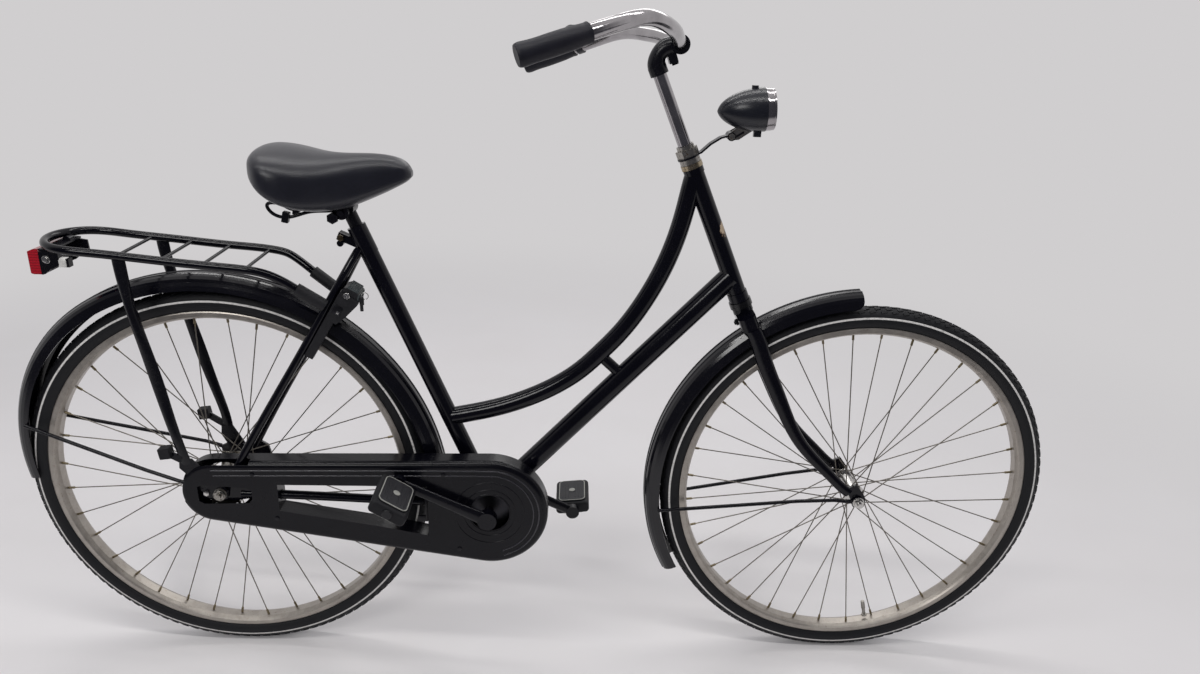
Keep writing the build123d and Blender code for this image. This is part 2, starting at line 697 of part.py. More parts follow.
def carrier_height(x):
    """Rail height at x."""
    return 440.0 - (x + 218.0) * 0.0875


def rail_loop():
    """Bent tube loop of the carrier, with its front ends bent down to the seat stays."""
    w = CARRIER_HALF_WIDTH
    r = w - 8
    back = -205.0
    left = [(180, w - 17.6, 365), (166, w - 15, 375), (150, w - 11.5, 387), (132, w - 6.5, 399), (114, w - 2, 408)]
    left += [(92, w, carrier_height(92)), (20, w, carrier_height(20)), (-80, w, carrier_height(-80))]
    left += [(-160, w, carrier_height(-160))]
    for step in range(0, 5):
        angle = radians(90 + step * 22.5)
        x = back + 5 + r * 0.9 * cos(angle)
        left.append((x, (w - r) * (1 - step / 4) + r * sin(angle), carrier_height(x)))
    left[-1] = (left[-1][0], 0, left[-1][2])
    right = [(x, -y, z) for x, y, z in reversed(left[:-1])]
    path = Spline(left + right)
    return tube_along(path, CARRIER_TUBE_RADIUS)


def carrier_rail():
    """The loop in six lengths that meet end to end, so that the space inside it stays open."""
    loop = rail_loop()
    lengths = []
    for front, back in ((240, 96), (96, RAIL_TURN), (RAIL_TURN, -300)):
        for side in (-1, 1):
            room = Box(front - back, 200, 300).moved(Location(((front + back) / 2, side * 100, 400)))
            lengths.append(largest(loop & room))
    return lengths


def sleeve_line(side):
    """Ends of the sleeve that joins a rail end to the seat stay."""
    top = Vector(160, side * (CARRIER_HALF_WIDTH - 13.9), 379.5)
    end = Vector(203, side * (CARRIER_HALF_WIDTH - 21.5), 349)
    return top, end


def carrier_sleeve_cores():
    """Solid outsides of the two sleeves."""
    parts = []
    for side in (-1, 1):
        top, end = sleeve_line(side)
        parts.append(rod(top, end, CARRIER_TUBE_RADIUS + 3.5))
    return parts


def carrier_sleeves():
    """Rubber-coated sleeves at the front ends of the rails."""
    return [largest(s) for s in [cut(core, seat_stay_tools() + [rail_tool()]) for core in carrier_sleeve_cores()]]


def seat_stay_tools():
    """Seat stays as plain sweeps for coping."""
    stay = tube_along(seat_stay_path(), SEAT_STAY_RADIUS)
    return [stay, mirrored(stay)]


def carrier_bars():
    """Cross wires between the rails."""
    parts = []
    w = CARRIER_HALF_WIDTH
    for x in (-115, -48, 17, 84):
        z = carrier_height(x)
        parts.append(rod((x, -w, z), (x, w, z), 2.75))
    return cut(parts, rail_tool())


def rail_tool():
    """The rail as a tool for coping."""
    return rail_loop()


def hook_spot(side):
    """Middle of a hook block."""
    return Vector(-76.5 + 6.5 * side, side * (CARRIER_HALF_WIDTH + 4.5), 87 + 5 * side)


def hook_arm(side):
    """Short strip from the leg to its hook block."""
    spot = hook_spot(side)
    root = Vector(-46 + 12 * side, 0, 68)
    y0, y1 = sorted((side * (CARRIER_HALF_WIDTH + 3), side * (CARRIER_HALF_WIDTH + 6)))
    run = Vector(spot.X - root.X, 0, spot.Z - root.Z).normalized() * 6.5
    return plate(
        [(root.X - run.Z, root.Z + run.X), (root.X + run.Z, root.Z - run.X),
         (spot.X + run.Z, spot.Z - run.X), (spot.X - run.Z, spot.Z + run.X)],
        y0, y1,
    )


def carrier_legs():
    """Legs from the rails down to the axle, flattened at both ends, each with a hook arm."""
    parts = []
    w = CARRIER_HALF_WIDTH
    foot_y = REAR_HUB_WIDTH / 2 + DROPOUT_THICK
    for side in (-1, 1):
        z = carrier_height(-107)
        line = [(-107 + 6 * side, w + 0.5, z - 5), (-105.5 + 6 * side, w + 1, 404), (-102 + 6.5 * side, w + 2, 374)]
        line += [(-85 + 8.3 * side, w + 4, 287), (-55.5 + 11.5 * side, w + 4.5, 141), (-44.3 + 12.8 * side, w + 3.5, 88)]
        line += [(-40.5 + 11.5 * side, foot_y + 4.8, 56)]
        sizes = [(4.5, 10.5), (4.5, 10.5), (7.5, 9.2), (7.0, 9.2), (6.5, 9.0), (4.6, 8.6), (1.4, 9.5)]
        leg = lofted([(x, side * y, height) for x, y, height in line], sizes)
        shift = 11.5 * side
        outline = [(-52 + shift, 68), (-31 + shift, 68), (14, 6), (11, -10), (-3, -14), (-15, -6), (-54 + shift, 50)]
        y0, y1 = sorted((side * (foot_y + 3.4), side * (foot_y + 6.2)))
        foot = plate(outline, y0, y1)
        arm = hook_arm(side)
        hole = disc((0, side * foot_y, 0), (0, 1, 0), AXLE_RADIUS + RUN_GAP, 40)
        body = fused([leg, foot, arm]) - hole
        parts.append(largest(cut(body, rail_tool())))
    return parts


def strap_hooks():
    """Rubber blocks on the hook arms of the carrier legs."""
    parts = []
    for side in (-1, 1):
        block = Box(20, 18, 20).moved(Location(hook_spot(side), (0, -8, 0)))
        block = fillet(block.edges(), 1.5)
        parts.append(largest(cut(block, [hook_arm(side), carrier_legs()[0 if side < 0 else 1]])))
    return parts


def tail_light_bracket():
    """Plate under the rail loop that carries the light."""
    outline = [(-249, 427), (-244, 431), (-218, 427), (-217, 408), (-233, 400), (-243, 392), (-249, 391)]
    right = plate(outline, -47, -44)
    left = plate(outline, 44, 47)
    back = Box(3, 94, 36).moved(Location((-247.5, 0, 409)))
    roof_z = carrier_height(-232) - CARRIER_TUBE_RADIUS - SEAT_GAP - 1.5
    roof = Box(18, 94, 3).moved(Location((-238, 0, roof_z - 0.5), (0, 5, 0)))
    plug = Box(16, 12, 14).moved(Location((-211, -40, 411)))
    arm = Box(22, 3, 12).moved(Location((-224, -42.5, 412)))
    clip = disc((-236, 22, roof_z + 1), (0, 1, 0), 6.5, 14)
    return largest(cut(fused([right, left, back, roof, clip, arm, plug]), [rail_tool()]))


def tail_light():
    """Red lens on the back of the bracket, deep at its ends, with a bowed rear face."""
    face = make_face(
        [Polyline([(-266.5, -46, 390), (-249.3, -46, 390), (-249.3, 46, 390), (-266.5, 46, 390)]),
         ThreePointArc((-266.5, 46, 390), (-279, 0, 390), (-266.5, -46, 390))]
    )
    body = extrude(face, amount=44, dir=(0, 0, 1))
    side = plate([(-300, 404), (-262, 391), (-240, 391), (-240, 433.5), (-256, 433.5), (-300, 415)], -60, 60)
    body = body & side
    return fillet(body.faces().sort_by(Axis.X)[0].edges(), 2.0)


def lock_plate(points, y0, y1):
    """Prism of the ring lock from points ahead of the stays and out from the axle."""
    out = Vector(cos(LOCK_ANGLE), 0, sin(LOCK_ANGLE))
    ahead = Vector(sin(LOCK_ANGLE), 0, -cos(LOCK_ANGLE))
    spots = [ahead * a + out * o for a, o in points]
    return plate([(v.X, v.Z) for v in spots], y0, y1)


def ring_lock():
    """Horseshoe lock in front of the seat stays, around the mudguard and the rim."""
    ahead = Vector(sin(LOCK_ANGLE), 0, -cos(LOCK_ANGLE))
    out = Vector(cos(LOCK_ANGLE), 0, sin(LOCK_ANGLE))
    near = SEAT_STAY_RADIUS + SEAT_GAP + 0.4
    plane = Plane(ahead * near, x_dir=(0, 1, 0), z_dir=ahead)
    up = 1 if plane.y_dir.dot(out) > 0 else -1
    outer = [(-46, 306), (-46, 404), (-40, 420), (-26, 430), (26, 430), (40, 420), (46, 404), (46, 306)]
    inner = [(32, 306), (32, 374), (26, 390), (-26, 390), (-32, 374), (-32, 306)]
    face = plane * make_face(Polyline([(a, b * up) for a, b in outer + inner], close=True))
    body = extrude(face, amount=15, dir=ahead)
    cover = lock_plate([(near, 440), (42.5, 440), (43, 432), (35.5, 402), (28, 384), (near, 384)], -46, -33)
    block = lock_plate([(near + 2, 408), (36, 408), (41, 434), (37, 448), (34, 451), (15, 451), (near + 2, 446)], -44, -4)
    return largest(cut(fused([body, cover, block]), seat_stay_tools()))


# Chain case

def case_outline(inset, y):
    """Outline of the case in the plane at y, pulled in by inset."""
    rear = CASE_REAR_RADIUS - inset
    front = CASE_FRONT_RADIUS - inset
    plane = side_plane(y)
    a = (-10.0, 3.0)
    b = (BRACKET_X + 4, BRACKET_Z + 4)
    return plane * make_hull(
        [Circle(rear).edge().moved(Location((a[0], a[1], 0))), Circle(front).edge().moved(Location((b[0], b[1], 0)))]
    )


def case_slot(grow, y):
    """Opening between the chain runs, grown outward."""
    points = [(102 - grow, 22 + grow), (102 - grow, -31 - grow), (282, -60 - grow * 1.1)]
    points += [(365 + grow, -77 - grow * 1.1), (365 + grow, 24 + grow)]
    return make_face(Polyline([(x, y, z) for x, z in points], close=True))


def chain_case():
    """Hollow case around both chain runs, open to the slot, the crank and the axle end."""
    depth = CASE_OUTER - CASE_INNER
    wall = CASE_WALL
    outer = extrude(case_outline(0, -CASE_INNER), amount=depth, dir=(0, -1, 0))
    rim_edges = outer.edges().group_by(Axis.Y)[0]
    outer = fillet(rim_edges, 10.5)
    room = extrude(case_outline(wall, -CASE_INNER - wall), amount=depth - 2 * wall, dir=(0, -1, 0))
    rim_edges = room.edges().group_by(Axis.Y)[0]
    room = fillet(rim_edges, 9.0)
    block = extrude(case_slot(wall, -CASE_INNER), amount=depth, dir=(0, -1, 0))
    body = (outer - room) + (outer & block)
    body = body - extrude(case_slot(0, -CASE_INNER + 1), amount=depth + 2, dir=(0, -1, 0))
    crank_hole = disc((BRACKET_X + 3, -CASE_OUTER, BRACKET_Z + 7), (0, 1, 0), 36, 20)
    shell_hole = disc((BRACKET_X, -CASE_INNER, BRACKET_Z), (0, 1, 0), BRACKET_RADIUS - 3, 10)
    hub_hole = disc((0, -CASE_INNER, 0), (0, 1, 0), 46, 10)
    window = plate([(-38, 15), (-38, -13), (-28, -19), (50, -16), (56, -8), (56, 8), (48, 14), (-28, 19)], -CASE_OUTER - 5, -CASE_OUTER + 12)
    stay = tube_along(mirrored_path(chain_stay_path()), CHAIN_STAY_RADIUS + 1.5)
    side = tube_along(mirrored_path(seat_stay_path()), SEAT_STAY_RADIUS + 2)
    leg_room = plate([(-140, 140), (60, 140), (52, 20), (50, -12), (-58, -22), (-120, 10)], -CASE_OUTER + wall, -REAR_HUB_WIDTH / 2 + 1)
    body = cut(body, [crank_hole, shell_hole, hub_hole, window, stay, side, leg_room])
    return largest(body)


def mirrored_path(path):
    """A centre line on the other side."""
    return path.mirror(Plane.XZ)


# Saddle

def saddle_sections():
    """Sections along the saddle: x, half width, top, bottom."""
    return [
        (97, 40, 588, 556),
        (101, 62, 594, 540),
        (110, 80, 599, 528),
        (124, 93, 602, 520),
        (142, 99, 603, 514),
        (165, 97, 601, 510),
        (190, 86, 597, 508),
        (215, 68, 593, 508),
        (245, 50, 592, 513),
        (275, 39, 592, 526),
        (305, 32, 591, 540),
        (328, 26, 586, 551),
        (342, 19, 577, 556),
        (349, 9, 568, 561),
    ]


def saddle_cover():
    """Padded cover, lofted from closed sections."""
    faces = []
    for x, w, top, low in saddle_sections():
        h = top - low
        points = [(0, top), (0.55 * w, top - 0.05 * h), (0.92 * w, top - 0.3 * h), (w, top - 0.58 * h)]
        points += [(0.86 * w, low + 0.1 * h), (0.5 * w, low), (0, low)]
        right = [(-y, z) for y, z in points[1:-1]]
        loop = points + right[::-1]
        wire = Spline([(x, y, z) for y, z in loop], periodic=True)
        faces.append(make_face(wire))
    return loft(faces)


def saddle_rails():
    """Wire rails, their rear loops and the fixing blocks under the cover."""
    parts = []
    for side in (-1, 1):
        points = [(134, side * 31, 517), (119, side * 30.5, 511), (124, side * 30, 502)]
        points += [(150, side * 28, 493.5), (182, side * 25, 502), (218, side * 21, 504.5), (268, side * 15, 526)]
        wire = tube_along(Spline(points), 2.8)
        block = Box(11, 11, 18).moved(Location((147, side * 29, 494), (0, 12, 0)))
        parts.append(fused([wire, fillet(block.edges(), 1.5)]))
    return cut(parts, saddle_cover())


def saddle_clamp():
    """Clamp that holds the rails on the post."""
    top = POST_TOP
    body = disc((top[0], 0, top[1]), (0, 1, 0), 15, 34)
    wings = disc((top[0] - 2, 0, top[1] - 4), (0, 1, 0), 12, 62)
    bolt = disc((top[0] - 2, 0, top[1] - 4), (0, 1, 0), 5, 76)
    body = fused([body, wings, bolt])
    return largest(cut(body, [saddle_cover(), seat_post()] + saddle_rails()))


def seat_post():
    """Post from inside the seat tube to the clamp."""
    low = seat_axis(SEAT_TUBE_TOP[1] - 145)
    return rod(low, Vector(POST_TOP[0], 0, POST_TOP[1]), POST_RADIUS)


# Axles, hubs, cranks and pedals

def axle_set(x, width, radius, stack, tall):
    """Axle with inner lock nuts and outer nuts."""
    reach = width / 2 + stack + tall + AXLE_END
    core = rod((x, -reach, 0), (x, reach, 0), radius)
    parts = [core]
    for side in (-1, 1):
        parts.append(disc((x, side * (width / 2 - 1.85), 0), (0, 1, 0), radius + 4.5, 3.7))
        washer = side * (width / 2 + stack + 0.8)
        parts.append(disc((x, washer, 0), (0, 1, 0), radius + 6.0, 1.6))
        parts.append(hex_nut((x, side * (width / 2 + stack + 1.6 + tall / 2 - 1), 0), (0, 1, 0), 2 * radius + 6, tall - 2))
    return fused(parts)


def sprocket():
    """Small driven wheel on the rear hub."""
    return toothed((0, -48.5, 0), 18, 12.7, 2.2)


def toothed(center, count, pitch, thick):
    """Toothed disc for the chain."""
    radius = pitch / (2 * sin(pi / count))
    points = []
    for i in range(count):
        for part, reach in ((0.0, -3.0), (0.3, -1.5), (0.42, 3.0), (0.58, 3.0), (0.7, -1.5)):
            angle = 2 * pi * (i + part) / count
            points.append((center[0] + (radius + reach) * cos(angle), center[2] + (radius + reach) * sin(angle)))
    return plate(points, center[1] - thick / 2, center[1] + thick / 2)


def chainring():
    """Front chain wheel with its spider windows."""
    y = -48.5
    body = toothed((BRACKET_X, y, BRACKET_Z), 44, 12.7, 2.4)
    for i in range(5):
        angle = 2 * pi * (i + 0.5) / 5
        spot = (BRACKET_X + 56 * cos(angle), y, BRACKET_Z + 56 * sin(angle))
        body = body - disc(spot, (0, 1, 0), 21, 20)
    boss = disc((BRACKET_X, -45.5, BRACKET_Z), (0, 1, 0), 19, 6)
    body = fused([body, boss])
    return body - disc((BRACKET_X, y, BRACKET_Z), (0, 1, 0), SPINDLE_RADIUS, 40)


def spindle():
    """Bracket spindle between the cranks."""
    return rod((BRACKET_X, -RIGHT_CRANK_OUT + 2, BRACKET_Z), (BRACKET_X, LEFT_CRANK_OUT - 2, BRACKET_Z), SPINDLE_RADIUS)


def crank_end(side):
    """Pedal axis point in the XZ plane; side -1 is the right."""
    angle = radians(CRANK_ANGLE if side < 0 else CRANK_ANGLE + 180)
    return BRACKET_X + CRANK_LENGTH * cos(angle), BRACKET_Z + CRANK_LENGTH * sin(angle)


def crank(side, inner, outer):
    """One crank arm with its boss and eye."""
    px, pz = crank_end(side)
    mid = side * (inner + outer) / 2
    run = Vector(px - BRACKET_X, 0, pz - BRACKET_Z).normalized()
    hub_center = Vector(BRACKET_X, mid, BRACKET_Z)
    arm = lofted(
        [hub_center + run * 8, hub_center + run * 60, hub_center + run * 120, hub_center + run * (CRANK_LENGTH - 4)],
        [(6.3, 13.5), (5.8, 11.0), (5.6, 9.8), (5.6, 9.6)],
    )
    boss_low = side * (inner - 4)
    boss = disc((BRACKET_X, (boss_low + side * outer) / 2, BRACKET_Z), (0, 1, 0), 17, abs(side * outer - boss_low))
    eye = disc((px, mid, pz), (0, 1, 0), 13, outer - inner)
    body = fused([arm, boss, eye])
    tools = [spindle(), pedal_spindle(side)]
    return largest(cut(body, tools))


def crank_out(side):
    """Outer face of the crank on that side."""
    return RIGHT_CRANK_OUT if side < 0 else LEFT_CRANK_OUT


def pedal_spindle(side):
    """Pedal pin from the crank eye outward, with a shoulder."""
    px, pz = crank_end(side)
    out = crank_out(side)
    pin = rod((px, side * (out - 12), pz), (px, side * (out + PEDAL_LENGTH + 3), pz), PEDAL_PIN)
    shoulder = rod((px, side * out, pz), (px, side * (out + 3.0), pz), 9)
    return fused([pin, shoulder])


def pedal_body(side):
    """Flat pedal with rounded ends, bored for its spindle."""
    px, pz = crank_end(side)
    start = crank_out(side) + 4.0
    mid = side * (start + PEDAL_LENGTH / 2)
    pitch = RIGHT_PEDAL_PITCH if side < 0 else LEFT_PEDAL_PITCH
    body = Box(66, PEDAL_LENGTH, 24)
    body = fillet(body.edges().filter_by(Axis.Y), 8)
    body = fillet(body.edges().filter_by(Axis.Z), 5) if body.edges().filter_by(Axis.Z) else body
    for up in (-1, 1):
        pad = Pos(0, 0, up * 12.7) * extrude(RectangleRounded(52, PEDAL_LENGTH - 14, 9), amount=1.4, both=True)
        body = body + pad
    body = body.moved(Location((px, mid, pz), (0, pitch, 0)))
    bore = rod((px, mid - side * 60, pz), (px, mid + side * (PEDAL_LENGTH / 2 - 0), pz), PEDAL_PIN + RUN_GAP)
    return largest(body - bore)


# Lamp

def ribbon(points, thick, y_low, y_high):
    """Bent flat strip that follows XZ points, thick square to its run."""
    left = []
    right = []
    for i, (px, pz) in enumerate(points):
        ax, az = points[max(i - 1, 0)]
        bx, bz = points[min(i + 1, len(points) - 1)]
        length = hypot(bx - ax, bz - az)
        nx = -(bz - az) / length
        nz = (bx - ax) / length
        left.append((px + nx * thick / 2, pz + nz * thick / 2))
        right.append((px - nx * thick / 2, pz - nz * thick / 2))
    return plate(left + right[::-1], y_low, y_high)


def lamp_bracket():
    """Ring under the lock nut and the strap that reaches the lamp."""
    s = HEAD_LOW + HEAD_LENGTH + 8 + SEAT_GAP + 9
    ring = rod(steer_point(s, 0), steer_point(s + 3, 0), HEAD_RADIUS + 3.0)
    start = [steer_point(s + 1.5, 14), steer_point(s + 1.5, 21)]
    points = [(v.X, v.Z) for v in start] + [(832, 629), (848, 639.5), (858, 642.5), (872, 642.5), (884, 650)]
    strap = ribbon(points, 3.0, -8, 8)
    ears = plate([(862, 636), (876, 638), (896, 652), (892, 660), (874, 656), (862, 648)], -6, 6)
    nut = rod((864, -12, 642.5), (864, 12, 642.5), 7.0)
    body = fused([ring, strap, ears, nut])
    bore = rod(steer_point(s - 5, 0), steer_point(s + 10, 0), STEERER_RADIUS)
    return largest(cut(body, [bore, lamp_solid()]))


def lamp_line(t):
    """Point on the lamp axis, t millimetres ahead of the tail."""
    return Vector(839, 0, 680.5) + Vector(cos(radians(LAMP_TILT)), 0, sin(radians(LAMP_TILT))) * t


def lamp_profile(scale_in):
    """Outline of the bullet body: along the axis and radius."""
    points = []
    for step in range(0, 11):
        t = step / 10
        points.append((76 * t, (34.8 - scale_in) * (1 - (1 - t) ** 2.1) ** 0.62))
    return points


def lamp_solid():
    """Outside of the lamp body."""
    origin = lamp_line(0)
    axis = lamp_line(1) - lamp_line(0)
    plane = Plane(origin, x_dir=axis, z_dir=(0, -1, 0))
    points = lamp_profile(0)
    curve = Spline([plane.from_local_coords((a, r, 0)) for a, r in points])
    end = plane.from_local_coords((76, 0, 0))
    close = Polyline([curve @ 1, end, curve @ 0])
    face = make_face([curve, close])
    return revolve(face, axis=Axis(origin, axis), revolution_arc=360)


def headlamp_shell():
    """Bullet-shaped body, hollow at the front, with its top knob."""
    body = lamp_solid()
    knob = rod(lamp_line(58) + Vector(0, 0, 29), lamp_line(58) + Vector(0, 0, 38), 5.5)
    hollow = rod(lamp_line(40), lamp_line(90), 28.5)
    tab = Box(12, 8, 10).moved(Location(lamp_line(68) + Vector(0, 0, -38)))
    return largest(fused([body, knob, tab]) - hollow)


def headlamp_rim():
    """Plated bezel ring."""
    return rod(lamp_line(76), lamp_line(90), 33.0, 28.5)


def headlamp_lens():
    """Domed glass inside the bezel."""
    glass = rod(lamp_line(80), lamp_line(85), 28.5)
    bulge = Sphere(90).moved(Location(lamp_line(85) - (lamp_line(1) - lamp_line(0)) * 84)) & rod(lamp_line(84), lamp_line(96), 28.5)
    return fused([glass, bulge])


# Wheels, as separate nodes

def wheel_nodes(name, x):
    """Tyre, rim, hub and spokes of one wheel."""
    if name == "front":
        width, shell, flange, flange_y, bore = FRONT_HUB_WIDTH, 14.0, 19.5, 31.0, FRONT_AXLE_RADIUS + RUN_GAP
    else:
        width, shell, flange, flange_y, bore = REAR_HUB_WIDTH, 28.0, 34.0, 28.0, AXLE_RADIUS + RUN_GAP
    return {
        name + "_tyre": lambda: tyre(x),
        name + "_rim": lambda: rim(x),
        name + "_hub": lambda: hub(x, width, shell, flange, flange_y, 1.6, bore),
        name + "_spokes": lambda: spokes(x, flange - 3.5, flange_y, 1.6),
    }


def rear_sprocket():
    """Driven wheel with its driver, on the right of the rear hub."""
    driver = disc((0, -45, 0), (0, 1, 0), 16, 10)
    return fused([driver, sprocket()]) - disc((0, 0, 0), (0, 1, 0), AXLE_RADIUS + 5.6, 200)


def all_nodes():
    """Every node by name, in the working frame."""
    guards = {
        "front_mudguard": front_mudguard,
        "front_guard_stays": front_guard_stays,
        "rear_mudguard": rear_mudguard,
        "rear_guard_stays": rear_guard_stays,
    }
    frame = {
        "head_tube": head_tube,
        "headset_cups": headset_cups,
        "loop_top_tube": loop_top_tube,
        "down_tube": down_tube,
        "seat_tube": seat_tube,
        "bottom_bracket_shell": bottom_bracket_shell,
        "chain_stays": chain_stays,
        "seat_stays": seat_stays,
        "rear_dropouts": rear_dropouts,
        "seat_post": seat_post,
        "saddle_clamp": saddle_clamp,
        "saddle_rails": saddle_rails,
        "saddle_cover": saddle_cover,
        "carrier_rail": carrier_rail,
        "carrier_bars": carrier_bars,
        "carrier_legs": carrier_legs,
        "carrier_sleeves": carrier_sleeves,
        "strap_hooks": strap_hooks,
        "tail_light_bracket": tail_light_bracket,
        "tail_light": tail_light,
        "ring_lock": ring_lock,
        "chain_case": chain_case,
        "rear_axle": lambda: axle_set(0, REAR_HUB_WIDTH, AXLE_RADIUS, DROPOUT_THICK + 6.2, 9),
    }
    steering = {
        "fork_crown": fork_crown,
        "fork_blades": fork_blades,
        "headset_nuts": headset_nuts,
        "stem_quill": stem_quill,
        "stem_clamp": stem_clamp,
        "handlebar": handlebar,
        "grips": grips,
        "bell": bell,
        "lamp_bracket": lamp_bracket,
        "headlamp_shell": headlamp_shell,
        "headlamp_rim": headlamp_rim,
        "headlamp_lens": headlamp_lens,
        "front_axle": lambda: axle_set(WHEELBASE, FRONT_HUB_WIDTH, FRONT_AXLE_RADIUS, 5 + 3.2, 9),
    }
    drive = {
        "bracket_spindle": spindle,
        "chainring": chainring,
        "right_crank": lambda: crank(-1, RIGHT_CRANK_OUT - 13, RIGHT_CRANK_OUT),
        "left_crank": lambda: crank(1, LEFT_CRANK_OUT - 13, LEFT_CRANK_OUT),
        "pedal_pins": lambda: [pedal_spindle(-1), pedal_spindle(1)],
        "right_pedal": lambda: pedal_body(-1),
        "left_pedal": lambda: pedal_body(1),
    }
    nodes = {}
    for group in (frame, guards, steering, drive):
        for name, make in group.items():
            nodes[name] = make
    nodes.update(wheel_nodes("front", WHEELBASE))
    nodes.update(wheel_nodes("rear", 0.0))
    nodes["rear_sprocket"] = rear_sprocket
    return nodes


def main():
    """Write one STEP file per node, moved to the rider mount."""
    os.makedirs("parts", exist_ok=True)
    shift = Location((-ORIGIN[0], -ORIGIN[1], -ORIGIN[2]))
    for name, piece in all_nodes().items():
        solids = [solid.moved(shift) for solid in solids_of(piece())]
        whole = solids[0] if len(solids) == 1 else Compound(solids)
        whole.label = name
        export_step(whole, "parts/" + name + ".step")


main()
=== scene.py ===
from math import atan2, cos, pi, radians, sin, sqrt

import bmesh
import bpy
from mathutils import Matrix, Vector


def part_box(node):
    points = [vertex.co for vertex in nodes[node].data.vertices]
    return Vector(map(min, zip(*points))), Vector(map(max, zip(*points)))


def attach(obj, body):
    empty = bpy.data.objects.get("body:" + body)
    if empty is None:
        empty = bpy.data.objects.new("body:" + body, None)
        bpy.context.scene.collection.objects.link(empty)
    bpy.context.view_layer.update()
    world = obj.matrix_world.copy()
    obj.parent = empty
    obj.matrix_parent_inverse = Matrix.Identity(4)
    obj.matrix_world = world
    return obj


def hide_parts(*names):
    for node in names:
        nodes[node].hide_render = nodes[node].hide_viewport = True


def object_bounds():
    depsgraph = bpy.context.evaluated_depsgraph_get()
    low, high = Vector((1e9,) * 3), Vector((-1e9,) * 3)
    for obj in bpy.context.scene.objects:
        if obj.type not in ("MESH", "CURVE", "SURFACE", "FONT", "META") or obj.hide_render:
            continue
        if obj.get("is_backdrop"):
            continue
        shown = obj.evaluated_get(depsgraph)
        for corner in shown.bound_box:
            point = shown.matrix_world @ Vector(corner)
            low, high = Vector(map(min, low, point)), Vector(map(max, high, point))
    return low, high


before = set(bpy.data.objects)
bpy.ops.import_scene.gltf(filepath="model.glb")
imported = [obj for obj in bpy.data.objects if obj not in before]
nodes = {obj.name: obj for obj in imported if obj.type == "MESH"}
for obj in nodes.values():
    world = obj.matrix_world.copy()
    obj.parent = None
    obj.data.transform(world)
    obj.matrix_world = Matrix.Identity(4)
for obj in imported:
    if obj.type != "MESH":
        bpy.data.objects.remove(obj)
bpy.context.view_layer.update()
print("city bicycle: frame loaded,", len(nodes), "nodes")


def middle(node):
    low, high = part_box(node)
    return (low + high) / 2


rearHub = middle("rear_rim")
frontHub = middle("front_rim")


# places are given in millimetres ahead, left and up of the rear axle
def place(x, y, z):
    return Vector((rearHub.x + x / 1000, y / 1000, rearHub.z + z / 1000))


def shiftBy(x, y, z):
    return Matrix.Translation((x / 1000, y / 1000, z / 1000))


def toLinear(hexColour):
    values = []
    for i in (1, 3, 5):
        c = int(hexColour[i:i + 2], 16) / 255
        values.append(c / 12.92 if c <= 0.04045 else ((c + 0.055) / 1.055) ** 2.4)
    return (*values, 1.0)


# a pattern's scale for features of this size in millimetres
def perMetre(size):
    return 1000 / size


# a node or socket is linked, a hex colour is turned to linear, and any other value is set
def setValues(tree, node, values):
    for key, value in values.items():
        if isinstance(value, bpy.types.Node):
            value = next(s for s in value.outputs if s.enabled)
        if isinstance(value, str) and value[0] == "#":
            value = toLinear(value)
        if isinstance(value, bpy.types.NodeSocket):
            tree.links.new(value, node.inputs[key])
        elif key == "stops":  # a ramp's places, each with its grey
            for element, (at, grey) in zip(node.color_ramp.elements, value):
                element.position, element.color = at, (grey, grey, grey, 1)
        elif isinstance(key, int) or key in node.inputs:
            node.inputs[key].default_value = value
        else:
            setattr(node, key, value)


def addNode(tree, kind, values):
    node = tree.nodes.new("ShaderNode" + kind)
    setValues(tree, node, values)
    return node


def startMaterial(name, values):
    mat = bpy.data.materials.new(name)
    mat.use_nodes = True
    tree = mat.node_tree
    shader = tree.nodes["Principled BSDF"]
    setValues(tree, shader, values)
    coords = addNode(tree, "TexCoord", {}).outputs["Object"]
    return mat, tree, shader, coords


# colours are a ground under coats and roughness is a base with shares, each led by its pattern;
# relief is (height, strength, depth in metres), lowest first
def dressSurface(tree, shader, colours, roughness, relief):
    colour, *coats = colours
    for pattern, coat in coats:
        colour = addNode(tree, "Mix", {"data_type": "RGBA", 0: pattern, 6: colour, 7: coat})
    rough, *shares = roughness
    for pattern, share in shares:
        rough = addNode(tree, "Math", {"operation": "MULTIPLY_ADD", 0: pattern, 1: share, 2: rough})
    values = {"Base Color": colour, "Roughness": rough}
    for height, strength, depth in relief:
        layer = {"Height": height, "Strength": strength, "Distance": depth}
        if "Normal" in values:
            layer["Normal"] = values["Normal"]
        values["Normal"] = addNode(tree, "Bump", layer)
    setValues(tree, shader, values)


# 1 where a value lies between two others, with soft ends
def bandMask(tree, value, low, high, soft):
    rise, fall = (addNode(tree, "MapRange", {"Value": value, "From Min": start, "From Max": end})
                  for start, end in ((low - soft, low + soft), (high + soft, high - soft)))
    return addNode(tree, "Math", {"operation": "MULTIPLY", 0: rise, 1: fall})


# distance from a wheel's axle, and the same as a vector for patterns that run round the hub
def wheelReach(tree, coords, hub):
    flat = addNode(tree, "Mapping", {
        "Vector": coords, "Location": (-hub.x, 0, -hub.z), "Scale": (1, 0, 1)})
    reach = addNode(tree, "VectorMath", {"operation": "LENGTH", 0: flat})
    return reach, addNode(tree, "CombineXYZ", {"X": reach})


